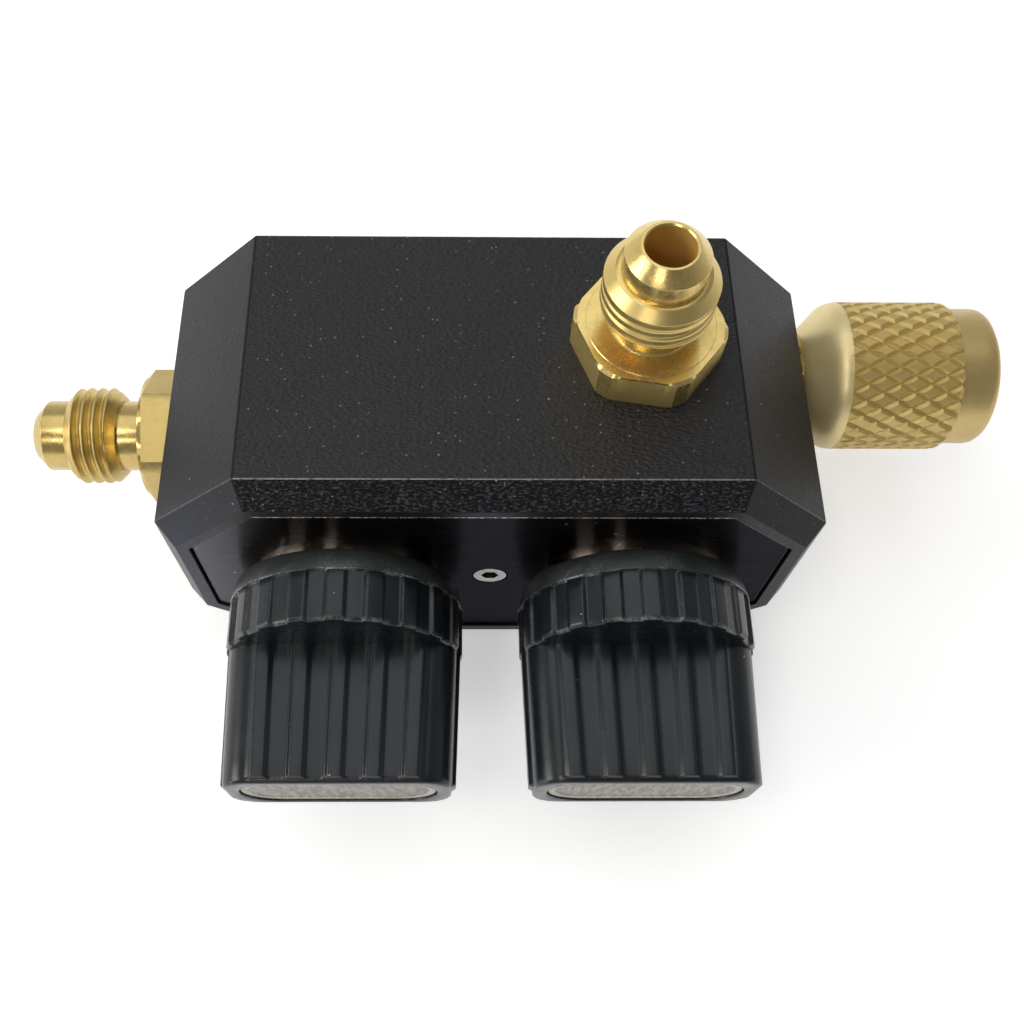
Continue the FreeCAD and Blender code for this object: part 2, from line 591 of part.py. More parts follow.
def make_stem_rings(side, sign):
    """The two sealing rings on a stem, as separate solids in one piece."""
    across = f"(stem_diameter / 2 + running_fit - ring_gap - stem_ring / 2)"
    rings = []
    for ring in (0, 1):
        torus = doc.addObject("Part::Torus", f"{side}_stem_ring_{ring + 1}")
        torus.setExpression("Radius1", ex(across))
        torus.setExpression("Radius2", ex("stem_ring / 2"))
        torus.Placement = Placement(Vector(), Rotation(Vector(1, 0, 0), 90))
        torus.setExpression("Placement.Base.y", ex(f"stem_ring_depth - {ring} * stem_ring_pitch"))
        rings.append(torus)
    group = doc.addObject("Part::Compound", f"{side}_stem_rings")
    group.Label = f"{side}_stem_rings"
    group.Links = rings
    place(group, x=f"{sign} * {VALVE_X}", z=VALVE_Z)
    return group


def box_corners(left, right, low, high):
    """Give the corners of a rectangle as pairs of formulas."""
    return [(left, low), (right, low), (right, high), (left, high)]


def radial_bar(angle, inner, outer, width):
    """Give the corners of a bar that points away from the origin at an angle in degrees."""
    corners = []
    for reach, half in ((inner, f"-{width} / 2"), (outer, f"-{width} / 2"),
                        (outer, f"{width} / 2"), (inner, f"{width} / 2")):
        corners.append((f"({reach}) * cos({angle}) - ({half}) * sin({angle})",
                        f"({reach}) * sin({angle}) + ({half}) * cos({angle})"))
    return corners


def make_knob(side, sign):
    """A moulded knob: smooth back band, ribbed rim and flat ribbed paddle, hollow behind.

    The stop ribs in its hollow meet the stop pin at the two ends of a quarter turn. The right
    knob is the same moulding, fitted half a turn round.
    """
    body = new_body(f"{side}_knob")
    rim, band = "knob_diameter / 2", "knob_diameter / 2 + rib_height"
    root, end = "paddle_root_width / 2", "paddle_end_width / 2"
    plan = [(f"-{root}", RIM_FRONT), (root, RIM_FRONT), (end, KNOB_END), (f"-{end}", KNOB_END)]
    face = outline(body, "paddle_plan", "XY_Plane", plan)
    padded(body, "paddle", face, "paddle_thickness", both_ways=True)
    softened(body, "Fillet", "paddle_corners", is_paddle_corner, "paddle_corner")
    softened(body, "Fillet", "paddle_end_edge", lambda edge, box: lies_at(edge, "y", box.YMin), "knob_edge")
    points = [("0", KNOB_BACK), ("knob_back_diameter / 2", KNOB_BACK), (band, SKIRT_FRONT),
              (rim, SKIRT_FRONT), (rim, RIM_FRONT), ("0", RIM_FRONT)]
    turned(body, "rim", "XY_Plane", points)
    softened(body, "Fillet", "back_edge", lambda edge, box: lies_at(edge, "y", box.YMax), "knob_edge")
    bar = radial_bar("90 deg", f"{rim} - rib_root", band, "rib_width")
    rib = padded(body, "rim_rib", outline(body, "rim_rib_outline", "XZ_Plane", bar, f"-{SKIRT_FRONT}"),
                 "rim_length")
    repeat(body, "PolarPattern", "rim_ribs", rib, Axis=(origin_part(body, "Y_Axis"), [""]), Angle=360,
           Occurrences=int(size("rim_ribs")))
    first = "-(paddle_ribs - 1) / 2 * paddle_rib_pitch"
    face = "paddle_thickness / 2"
    for name, low, high in (("upper", f"{face} - rib_root", f"{face} + rib_height"),
                            ("lower", f"-{face} - rib_height", f"-{face} + rib_root")):
        corners = box_corners(f"{first} - rib_width / 2", f"{first} + rib_width / 2", low, high)
        rib = padded(body, f"{name}_rib",
                     outline(body, f"{name}_rib_outline", "XZ_Plane", corners, f"-{RIM_FRONT}"),
                     "paddle_length - rib_end")
        repeat(body, "LinearPattern", f"{name}_ribs", rib, Direction=(origin_part(body, "X_Axis"), [""]),
               Length="(paddle_ribs - 1) * paddle_rib_pitch", Occurrences=int(size("paddle_ribs")))
    for name, way in (("first", "-"), ("second", "")):
        slope = f"({root} - {end}) * rib_end / paddle_length"
        strip = [(f"{way}({root} - rib_root)", RIM_FRONT), (f"{way}({root} + rib_height)", RIM_FRONT),
                 (f"{way}({end} + {slope} + rib_height)", f"{KNOB_END} + rib_end"),
                 (f"{way}({end} + {slope} - rib_root)", f"{KNOB_END} + rib_end")]
        padded(body, f"{name}_side_rib", outline(body, f"{name}_side_rib_outline", "XY_Plane", strip),
               "side_rib_width", both_ways=True)
    hub, bore, floor = "hub_diameter / 2", "skirt_bore / 2", f"({KNOB_BACK} - hollow_depth)"
    grooved(body, "hollow", "XY_Plane", [(hub, KNOB_BACK), (bore, KNOB_BACK), (bore, floor), (hub, floor)])
    swing = "asin((stop_pin / 2 + stop_rib / 2 + stop_gap) / stop_pin_radius)"
    inner_ribs = {"open_stop": f"-90 deg - {swing}", "shut_stop": swing, "stiffener": "135 deg"}
    for name, angle in inner_ribs.items():
        bar = radial_bar(angle, f"{hub} - rib_height", f"{bore} + rib_height", "stop_rib")
        padded(body, name, outline(body, f"{name}_outline", "XZ_Plane", bar, f"-{floor}"), "hollow_depth",
               reverse=True)
    half = "(stem_square / 2 + socket_fit)"
    socket = outline(body, "socket_outline", "XZ_Plane", box_corners(f"-{half}", half, f"-{half}", half),
                     f"-{KNOB_BACK}")
    pocketed(body, "socket", socket, f"{KNOB_BACK} - {WEB_BACK}", reverse=True)
    well, hole = "knob_screw_head / 2 + screw_well_gap", "knob_screw_shank / 2 + screw_well_gap"
    points = [("0", WEB_BACK), (hole, WEB_BACK), (hole, WEB_FRONT), (well, WEB_FRONT), (well, KNOB_END),
              ("0", KNOB_END)]
    grooved(body, "screw_well", "XY_Plane", points)
    strip = slot(body, "label_outline", "XZ_Plane", "(label_length + 2 * label_gap)",
                 "(label_width + 2 * label_gap)", f"-{KNOB_END}")
    pocketed(body, "label_seat", strip, "label_recess")
    place_moving(body, side, sign)
    return body


def is_paddle_corner(edge, box):
    """Pick the four long edges of the paddle, which run from the rim to the end face."""
    depths = sorted(vertex.Point.y for vertex in edge.Vertexes)
    return len(depths) == 2 and depths[1] - depths[0] > size("paddle_length") / 2


def repeat(body, kind, name, feature, **values):
    """Repeat a feature in a ring or a row."""
    pattern = add(body, f"PartDesign::{kind}", name, Originals=[feature], **values)
    body.Tip = pattern
    checked(body, cuts=False)
    return pattern


def place_moving(piece, side, sign):
    """Put a piece of a knob on its valve axis, half a turn round on the right."""
    turn = Rotation(Vector(0, 1, 0), 180) if side == "right" else None
    place(piece, x=f"{sign} * {VALVE_X}", z=VALVE_Z, rotation=turn)


def make_label_strip(side, sign):
    """The blank strip in the end of a knob, which covers the knob screw."""
    body = new_body(f"{side}_label_strip")
    strip = slot(body, "outline", "XZ_Plane", "label_length", "label_width", f"-{RECESS_FLOOR}")
    padded(body, "strip", strip, "label_thickness")
    place_moving(body, side, sign)
    return body


def make_knob_screw(side, sign):
    """The screw that holds a knob on its stem, with a hexagonal socket."""
    body = new_body(f"{side}_knob_screw")
    shank, head = "knob_screw_shank / 2", "knob_screw_head / 2"
    top = f"({WEB_FRONT} - knob_screw_head_height)"
    points = [("0", top), (head, top), (head, WEB_FRONT), (shank, WEB_FRONT),
              (shank, f"{STEM_END} + knob_screw_grip"), ("0", f"{STEM_END} + knob_screw_grip")]
    turned(body, "screw", "XY_Plane", points)
    socket = outline(body, "socket_outline", "XZ_Plane", hexagon("knob_screw_socket", "0"), f"-{top}")
    pocketed(body, "socket", socket, "knob_screw_head_height / 2")
    place_moving(body, side, sign)
    return body


def make_flare_fitting(side, rotation, x, y, z):
    """A male flare fitting: threaded tail, hexagon, thread, and a collar that ends in a cone."""
    body = new_body(f"{side}_flare_fitting")
    bore, tail, neck, thread = "flare_bore / 2", "port_thread / 2", "flare_neck / 2", "flare_thread / 2"
    end = f"({THREAD_START} + {side}_thread)"
    cone = f"({end} + {side}_collar)"
    mouth = f"({cone} + {neck} - {bore} - cone_lip)"
    points = [(bore, "-tail_length"), (f"{tail} - tail_edge", "-tail_length"),
              (tail, "-tail_length + tail_edge"), (tail, "0"), ("hex_corner_turning / 2", "0"),
              ("hex_corner_turning / 2", "hex_height - hex_bevel"),
              ("hex_corner_turning / 2 - hex_bevel * sqrt(3)", "hex_height"), (neck, "hex_height"),
              (neck, THREAD_START), (f"{thread} - thread_edge", THREAD_START),
              (thread, f"{THREAD_START} + thread_edge"), (thread, f"{end} - thread_edge"),
              (f"{thread} - thread_edge", end), (neck, end), (neck, cone),
              (f"{bore} + cone_lip", mouth), (bore, mouth)]
    turned(body, "turning", "XZ_Plane", points)
    corners = hexagon("hex_flats", f"{side}_hex_turn")
    flats = outline(body, "flats_outline", "XY_Plane", corners, "hex_height")
    ring = flats.addGeometry(Part.Circle(Vector(), Vector(0, 0, 1), 1))
    index = flats.addConstraint(Sketcher.Constraint("Radius", ring, 1.0))
    flats.setExpression(f"Constraints[{index}]", ex("hex_corner_turning"))
    flats.addConstraint(Sketcher.Constraint("Coincident", ring, 3, -1, 1))
    pocketed(body, "flats", flats, "hex_height")
    place(body, x, y, z, rotation)
    return body


def make_port_ring(side, rotation, x, y, z):
    """The sealing ring under the hexagon of a flare fitting."""
    ring = doc.addObject("Part::Torus", f"{side}_fitting_ring")
    ring.Label = f"{side}_fitting_ring"
    ring.setExpression("Radius1", ex("port_thread / 2 + ring_gap + port_ring / 2"))
    ring.setExpression("Radius2", ex("port_ring / 2"))
    place(ring, x, y, z, rotation)
    return ring


def make_bonnet_ring(side, sign):
    """The sealing ring of a bonnet."""
    ring = doc.addObject("Part::Torus", f"{side}_bonnet_ring")
    ring.Label = f"{side}_bonnet_ring"
    ring.setExpression("Radius1", ex("bonnet_thread / 2 - ring_gap - bonnet_ring / 2"))
    ring.setExpression("Radius2", ex("bonnet_ring / 2"))
    place(ring, f"{sign} * {VALVE_X}", f"{BONNET_STEP} - 1.5 * bonnet_groove", VALVE_Z,
          Rotation(Vector(1, 0, 0), 90))
    return ring


def make_swivel_stub():
    """The stub that screws into the gallery and carries the swivel nut on its neck."""
    body = new_body("swivel_stub")
    bore, tail, neck = "swivel_bore / 2", "swivel_thread / 2", "swivel_neck / 2"
    points = [(bore, "-tail_length"), (f"{tail} - tail_edge", "-tail_length"),
              (tail, "-tail_length + tail_edge"), (tail, "0"), ("shoulder_diameter / 2", "0"),
              ("shoulder_diameter / 2", "shoulder_length"), (neck, "shoulder_length"), (neck, HEAD_BACK),
              ("stub_head / 2", HEAD_BACK), ("stub_head / 2", HEAD_FRONT), (bore, HEAD_FRONT)]
    turned(body, "turning", "XZ_Plane", points)
    key = outline(body, "key_outline", "XY_Plane", hexagon("key_flats", "0"), HEAD_FRONT)
    pocketed(body, "key_way", key, "key_depth")
    place(body, "block_width / 2", GALLERY_DEPTH, VALVE_Z, Rotation(Vector(0, 1, 0), 90))
    return body


def make_swivel_nut():
    """The knurled nut with its inner thread and the web that hooks behind the stub's head."""
    body = new_body("swivel_nut")
    hole, hollow = "swivel_neck / 2 + swivel_fit", "stub_head / 2 + head_room"
    grip, thread, collar = "nut_diameter / 2", "flare_thread / 2", "collar_diameter / 2"
    points = [(hole, NUT_BACK), ("nut_back_diameter / 2", NUT_BACK), (grip, f"{NUT_BACK} + nut_cone"),
              (grip, KNURL_END), (collar, KNURL_END), (collar, NUT_FRONT),
              (f"{thread} + mouth_bevel", NUT_FRONT), (thread, f"{NUT_FRONT} - mouth_bevel"),
              (thread, f"{NUT_FRONT} - nut_thread_length"), (hollow, f"{NUT_FRONT} - nut_thread_length"),
              (hollow, NUT_WEB), (hole, NUT_WEB)]
    turned(body, "turning", "XZ_Plane", points)
    softened(body, "Fillet", "cone_round", is_cone_edge, "nut_round")
    softened(body, "Fillet", "collar_round", is_collar_edge, "collar_round")
    place(body, "block_width / 2", GALLERY_DEPTH, VALVE_Z, Rotation(Vector(0, 1, 0), 90))
    return body


def is_cone_edge(edge, box):
    """Pick the edge where the cone of the swivel nut meets its widest band."""
    height = size("shoulder_length") + size("nut_gap") + size("nut_cone")
    return lies_at(edge, "z", height) and edge.Length > math.pi * size("nut_diameter") - TOLERANCE


def is_collar_edge(edge, box):
    """Pick the outer edge at the open end of the swivel nut."""
    return lies_at(edge, "z", box.ZMax) and edge.Length > math.pi * size("collar_diameter") - TOLERANCE


def make_swivel_gasket():
    """The flat gasket that the stub's head holds in the swivel nut."""
    body = new_body("swivel_gasket")
    inner, outer = "gasket_bore / 2", "gasket_diameter / 2"
    front = f"{HEAD_FRONT} + gasket_thickness"
    points = [(inner, HEAD_FRONT), (outer, HEAD_FRONT), (outer, front), (inner, front)]
    turned(body, "gasket", "XZ_Plane", points)
    place(body, "block_width / 2", GALLERY_DEPTH, VALVE_Z, Rotation(Vector(0, 1, 0), 90))
    return body


TO_LEFT = Rotation(Vector(0, 1, 0), -90)
UPWARD = Rotation()
LEFT_PORT = ("-block_width / 2", "port_depth", VALVE_Z)
TOP_PORT = (VALVE_X, "port_depth", "block_height")

pieces = [make_housing(), make_front_plate(), make_plate_screw()]
for side, sign in SIDES.items():
    pieces += [make_bonnet(side, sign), make_bonnet_ring(side, sign), make_stop_pin(side, sign)]
    pieces += [make_thrust_ring(side, sign)]
    pieces += [make_packing(side, sign, half) for half in ("front", "rear")]
    pieces += [make_ball_stem(side, sign), make_stem_rings(side, sign), make_knob(side, sign)]
    pieces += [make_knob_screw(side, sign), make_label_strip(side, sign)]
pieces.append(make_flare_fitting("left", TO_LEFT, *LEFT_PORT))
pieces.append(make_port_ring("left", TO_LEFT, f"-block_width / 2 + {RING_SEAT} / 2", *LEFT_PORT[1:]))
pieces.append(make_flare_fitting("top", UPWARD, *TOP_PORT))
pieces.append(make_port_ring("top", UPWARD, *TOP_PORT[:2], f"block_height - {RING_SEAT} / 2"))
pieces += [make_swivel_stub(), make_swivel_nut(), make_swivel_gasket()]

doc.recompute()
faulty = [item.Name for item in doc.Objects if {"Invalid", "Error"} & set(item.State)]
if faulty:
    raise RuntimeError(f"these objects failed: {faulty}")
os.makedirs("parts", exist_ok=True)
for piece in pieces:
    if piece.Shape.isNull() or not piece.Shape.isValid():
        raise RuntimeError(f"{piece.Label} has no valid shape")
    piece.Shape.exportStep(os.path.join("parts", f"{piece.Label}.step"))
    middle = piece.Shape.BoundBox.Center
    print(f"{piece.Label}: {piece.Shape.Volume:.1f} mm3, solids {len(piece.Shape.Solids)},",
          f"middle at {middle.x:.1f} {middle.y:.1f} {middle.z:.1f}")
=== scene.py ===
"""Looks of a two-valve vacuum isolation block.

The block is black anodised, with a brushed panel, two ribbed paddle knobs, two brass flare
fittings and a knurled swivel nut. Sizes in the classes are in millimetres, in the part's frame:
+X from the left fitting to the swivel nut, +Y from the knobs to the back, +Z up.
"""
import json
import logging
import math
from dataclasses import dataclass, field
from enum import Enum
from typing import Callable, Optional, Sequence

import bmesh
import bpy
import numpy as np
from mathutils import Matrix, Vector


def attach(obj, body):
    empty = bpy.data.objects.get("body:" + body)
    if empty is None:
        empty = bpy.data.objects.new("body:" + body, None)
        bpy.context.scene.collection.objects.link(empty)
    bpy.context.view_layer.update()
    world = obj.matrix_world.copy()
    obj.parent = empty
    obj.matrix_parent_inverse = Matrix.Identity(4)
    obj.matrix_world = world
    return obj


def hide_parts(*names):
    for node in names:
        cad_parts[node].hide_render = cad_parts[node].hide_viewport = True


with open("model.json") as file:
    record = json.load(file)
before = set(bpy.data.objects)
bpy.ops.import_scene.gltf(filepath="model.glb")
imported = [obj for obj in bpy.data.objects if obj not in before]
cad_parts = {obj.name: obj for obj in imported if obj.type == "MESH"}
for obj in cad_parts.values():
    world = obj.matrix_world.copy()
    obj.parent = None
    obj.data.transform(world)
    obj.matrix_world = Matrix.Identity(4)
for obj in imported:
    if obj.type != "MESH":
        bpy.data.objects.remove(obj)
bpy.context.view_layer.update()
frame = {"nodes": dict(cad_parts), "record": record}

log = logging.getLogger("valve")

MM = 0.001
Pair = tuple[float, float]
Color = tuple[float, float, float]
Shape = Callable[[np.ndarray, float, float], np.ndarray]


def with_alpha(color: object) -> object:
    """Give a plain colour its fourth value, and leave a socket as it is."""
    return color if isinstance(color, bpy.types.NodeSocket) else (*color, 1.0)


class Graph:
    """The nodes of a material or world, with short ways to add and join them, in millimetres."""

    def __init__(self, name: str, world: bool = False) -> None:
        """Start with no nodes but the place in the piece.

        Args:
            name: The name of the material or world.
            world: Whether it is a world.
        """
        self.owner = (bpy.data.worlds if world else bpy.data.materials).new(name)
        self.owner.use_nodes = True
        self.tree = self.owner.node_tree
        self.tree.nodes.clear()
        self.places = self.add("ShaderNodeTexCoord").outputs
        inputs = {0: self.places["Object"], "Scale": 1.0 / MM}
        self.place = self.add("ShaderNodeVectorMath", inputs, operation="SCALE").outputs[0]

    def add(self, kind: str, inputs: Optional[dict] = None, **settings: object) -> bpy.types.Node:
        """Add a node.

        Args:
            kind: The node's type.
            inputs: Values or sockets for its inputs, by name or number.
            settings: Other settings of the node.

        Returns:
            The new node.
        """
        node = self.tree.nodes.new(kind)
        for key, value in settings.items():
            setattr(node, key, value)
        for key, value in (inputs or {}).items():
            if isinstance(value, bpy.types.NodeSocket):
                self.tree.links.new(value, node.inputs[key])
            else:
                node.inputs[key].default_value = value
        return node

    def calc(self, operation: str, first: object, second: object = 0.0) -> bpy.types.NodeSocket:
        """Work out one sum of two numbers or sockets."""
        return self.add("ShaderNodeMath", {0: first, 1: second}, operation=operation).outputs[0]

    def vector(self, operation: str, first: object,
               second: object = (0.0, 0.0, 0.0)) -> bpy.types.Node:
        """Work out one sum of two vectors or sockets."""
        return self.add("ShaderNodeVectorMath", {0: first, 1: second}, operation=operation)

    def split(self, place: bpy.types.NodeSocket) -> Sequence[bpy.types.NodeSocket]:
        """Give the three coordinates of a place."""
        return self.add("ShaderNodeSeparateXYZ", {0: place}).outputs

    def stretched(self, scale: Color) -> bpy.types.NodeSocket:
        """Give the place in the piece, scaled along each axis."""
        return self.vector("MULTIPLY", self.place, scale).outputs[0]

    def noise(self, scale: float, detail: float = 2.0, where: object = None,
              roughness: float = 0.5) -> bpy.types.NodeSocket:
        """Give cloudy noise.

        Args:
            scale: Waves per millimetre.
            detail: How many finer layers are added.
            where: The place to read it at, the piece's own by default.
            roughness: The strength of the finer layers.

        Returns:
            The noise, about 0 to 1.
        """
        inputs = {"Vector": where or self.place, "Scale": scale, "Detail": detail, "Roughness": roughness}
        return self.add("ShaderNodeTexNoise", inputs).outputs[0]

    def specks(self, scale: float, size: float, share: float) -> bpy.types.NodeSocket:
        """Give scattered round specks.

        Args:
            scale: Cells per millimetre.
            size: The radius of a speck, in cells.
            share: The share of cells that holds a speck.

        Returns:
            1 on a speck and 0 elsewhere.
        """
        inputs = {"Vector": self.place, "Scale": scale}
        cell = self.add("ShaderNodeTexVoronoi", inputs)
        near = self.calc("LESS_THAN", cell.outputs["Distance"], size)
        chosen = self.add("ShaderNodeSeparateColor", {0: cell.outputs["Color"]}).outputs[0]
        return self.calc("MULTIPLY", near, self.calc("LESS_THAN", chosen, share))

    def ramp(self, value: bpy.types.NodeSocket, low: float, high: float, start: float = 0.0,
             end: float = 1.0) -> bpy.types.NodeSocket:
        """Spread a value from one range to another, with its ends held.

        Args:
            value: What is spread.
            low: The value that becomes start.
            high: The value that becomes end.
            start: The result at low.
            end: The result at high.

        Returns:
            The spread value.
        """
        inputs = {0: value, 1: low, 2: high, 3: start, 4: end}
        return self.add("ShaderNodeMapRange", inputs).outputs[0]

    def mix(self, share: object, first: object, second: object) -> bpy.types.NodeSocket:
        """Mix two colours.

        Args:
            share: How much of the second one shows.
            first: A colour or socket.
            second: A colour or socket.

        Returns:
            The mixed colour.
        """
        inputs = {0: share, 6: with_alpha(first), 7: with_alpha(second)}
        return self.add("ShaderNodeMix", inputs, data_type="RGBA").outputs[2]

    def bump(self, height: bpy.types.NodeSocket, depth: float,
             below: Optional[bpy.types.NodeSocket] = None) -> bpy.types.NodeSocket:
        """Give a surface relief.

        Args:
            height: The relief, 0 to 1.
            depth: Its real depth in millimetres.
            below: A coarser relief that it lies on.

        Returns:
            The normal for the shader.
        """
        inputs = {"Height": height, "Distance": depth * MM, "Strength": 1.0}
        if below:
            inputs["Normal"] = below
        return self.add("ShaderNodeBump", inputs).outputs[0]

    def mark(self, name: str) -> bpy.types.NodeSocket:
        """Read a mark that a mesh carries on its points."""
        return self.add("ShaderNodeAttribute", attribute_name=name).outputs["Fac"]

    def surface(self, **inputs: object) -> bpy.types.Material:
        """Finish the material with one shader.

        Args:
            inputs: The shader's inputs, with spaces in their names written as underscores.

        Returns:
            The material.
        """
        named = {key.replace("_", " "): value for key, value in inputs.items()}
        shader = self.add("ShaderNodeBsdfPrincipled", named)
        self.add("ShaderNodeOutputMaterial", {"Surface": shader.outputs[0]})
        return self.owner


@dataclass(frozen=True)
class Anodised:
    """Black anodised aluminium, blasted to a fine pebble or left nearly smooth."""

    name: str
    color: Color = (0.0085, 0.0080, 0.0095)
    tint: Color = (0.012, 0.0105, 0.0095)
    roughness: float = 0.40
    pebble_depth: float = 0.20
    fine_depth: float = 0.016
    # Share of painted glints: bright specks standing for glints of the lamps.
    painted_glint: float = 0.25
    level: float = 0.43
    pebble_scale: float = 2.8
    pebble_stretch: Color = (0.75, 1.25, 1.25)
    # Share and colour of the painted highlight on the pebble peaks.
    glint_crumbs: float = 0.04
    glint_crumb_color: Color = (0.20, 0.185, 0.22)
    # Strength and colour of a painted sheen towards the left end and the front.
    painted_left_sheen: float = 0.0
    painted_sheen_color: Color = (0.16, 0.18, 0.26)
    painted_glint_color: Color = (0.75, 0.74, 0.76)
    dust_color: Color = (0.34, 0.33, 0.31)

    def build(self) -> bpy.types.Material:
        """Make the material.

        Returns:
            The new material.
        """
        graph = Graph(self.name)
        inputs = {"Vector": graph.stretched((0.8, 1.3, 1.3)), "Scale": 2.3, "Smoothness": 0.35}
        pits = graph.add("ShaderNodeTexVoronoi", inputs, feature="SMOOTH_F1").outputs["Distance"]
        pebble = graph.noise(self.pebble_scale, 3.0, graph.stretched(self.pebble_stretch), 0.6)
        height = graph.calc("ADD", pebble, graph.calc("MULTIPLY", pits, 0.6))
        fine = graph.noise(7.0, 2.0, roughness=0.6)
        patches = graph.ramp(graph.noise(0.07, 3.0), 0.35, 0.7)
        color = graph.mix(patches, self.color, self.tint)
        # Painted highlight: the peaks of the pebble are painted lighter, standing for glints on them.
        glint_crumbs = graph.calc("MULTIPLY", graph.ramp(pebble, 0.50, 0.66), self.glint_crumbs)
        color = graph.mix(glint_crumbs, color, self.glint_crumb_color)
        x, y, _ = graph.split(graph.place)
        # Painted sheen: towards the left end and the front the colour is painted paler, standing for
        # light from the left.
        painted_sheen = graph.calc("MULTIPLY", graph.ramp(x, -34.0, -22.0, self.painted_left_sheen, 0.0),
                          graph.ramp(y, -17.0, -12.0, 1.0, 0.12))
        color = graph.mix(painted_sheen, color, self.painted_sheen_color)
        # Painted glints: scattered bright specks.
        painted_glint = graph.calc("MULTIPLY", graph.specks(2.1, 0.20, 0.10), self.painted_glint)
        color = graph.mix(painted_glint, color, self.painted_glint_color)
        color = graph.mix(graph.specks(0.55, 0.05, 0.12), color, self.dust_color)
        rough = graph.ramp(pebble, 0.3, 0.7, self.roughness - 0.06, self.roughness + 0.08)
        normal = graph.bump(fine, self.fine_depth, graph.bump(height, self.pebble_depth))
        return graph.surface(Base_Color=color, Roughness=rough, Specular_IOR_Level=self.level,
                             Normal=normal)


@dataclass(frozen=True)
class WornEdge:
    """A thin edge where handling has scuffed through the black layer, in broken stretches; its lighter
    copies on the top facet are partly painted highlight.
    """

    name: str
    color: Color = (0.014, 0.013, 0.013)
    bare: Color = (0.25, 0.24, 0.24)
    share: float = 0.44

    def build(self) -> bpy.types.Material:
        """Make the material.

        Returns:
            The new material.
        """
        graph = Graph(self.name)
        patches = graph.noise(2.6, 4.0, roughness=0.75)
        rubbed = graph.ramp(patches, self.share, self.share + 0.14)
        color = graph.mix(rubbed, self.color, self.bare)
        return graph.surface(Base_Color=color, Metallic=graph.calc("MULTIPLY", rubbed, 0.35),
                             Roughness=0.36, Normal=graph.bump(patches, 0.02))


@dataclass(frozen=True)
class BrushedBlack:
    """The black panel, brushed along X, which blurs what it mirrors up and down."""

    name: str
    color: Color = (0.014, 0.013, 0.016)
    edge: Color = (0.55, 0.55, 0.57)
    dust_color: Color = (0.55, 0.52, 0.50)
    painted_left_sheen_color: Color = (0.62, 0.60, 0.63)
    roughness: float = 0.30
    line_depth: float = 0.0022

    def build(self) -> bpy.types.Material:
        """Make the material.

        Returns:
            The new material.
        """
        graph = Graph(self.name)
        lines = graph.noise(1.0, 3.0, graph.stretched((0.30, 8.0, 8.0)), 0.6)
        wide = graph.noise(1.0, 2.0, graph.stretched((0.4, 2.2, 2.2)))
        height = graph.calc("ADD", lines, wide)
        paler = tuple(1.7 * value for value in self.color)
        color = graph.mix(graph.ramp(lines, 0.3, 0.8), self.color, paler)
        color = graph.mix(graph.specks(0.42, 0.055, 0.35), color, self.dust_color)
        # Painted sheen: the left end of the panel is painted paler, standing for light from the left.
        across = graph.split(graph.place)[0]
        color = graph.mix(graph.ramp(across, -33.0, -22.0, 0.24, 0.0), color, self.painted_left_sheen_color)
        rough = graph.ramp(wide, 0.3, 0.7, self.roughness - 0.04, self.roughness + 0.06)
        upright = graph.add("ShaderNodeCombineXYZ", {2: 1.0}).outputs[0]
        return graph.surface(Base_Color=color, Metallic=1.0, Roughness=rough, Anisotropic=0.85,
                             Specular_Tint=with_alpha(self.edge), Tangent=upright,
                             Normal=graph.bump(height, self.line_depth))


class Axis(Enum):
    """The directions that turned pieces have their axes along."""

    X = (1.0, 0.0, 0.0)
    Y = (0.0, 1.0, 0.0)
    Z = (0.0, 0.0, 1.0)


@dataclass(frozen=True)
class TurnedMetal:
    """Metal from a lathe, with fine rings about its axis."""

    name: str
    axis: Axis
    centre: tuple[float, float, float]
    color: Color = (0.74, 0.56, 0.21)
    stain: Color = (0.62, 0.44, 0.14)
    groove: Color = (0.66, 0.49, 0.16)
    roughness: float = 0.23
    ring_depth: float = 0.0014
    grain_depth: float = 0.0004
    metallic: float = 0.86
    staining: float = 0.5

    def build(self) -> bpy.types.Material:
        """Make the material.

        Returns:
            The new material.
        """
        graph = Graph(self.name)
        axis = self.axis.value
        offset = graph.vector("SUBTRACT", graph.place, self.centre).outputs[0]
        along = graph.vector("DOT_PRODUCT", offset, axis).outputs["Value"]
        flat = graph.vector("MULTIPLY", offset, [1.0 - value for value in axis]).outputs[0]
        away = graph.vector("LENGTH", flat).outputs["Value"]
        steps = graph.add("ShaderNodeCombineXYZ", {0: graph.calc("ADD", along, away)}).outputs[0]
        rings = graph.noise(3.2, 3.0, steps, 0.6)
        grain = graph.noise(1.6, 2.0)
        clouds = graph.ramp(graph.noise(0.35, 4.0, roughness=0.6), 0.42, 0.75)
        color = graph.mix(graph.calc("MULTIPLY", clouds, self.staining), self.color, self.stain)
        color = graph.mix(graph.mark("groove"), color, self.groove)
        rough = graph.ramp(grain, 0.3, 0.7, self.roughness - 0.03, self.roughness + 0.07)
        coarse = graph.bump(graph.noise(1.3, 3.0, roughness=0.6), self.grain_depth)
        normal = graph.bump(rings, self.ring_depth, coarse)
        return graph.surface(Base_Color=color, Metallic=self.metallic, Roughness=rough, Normal=normal)


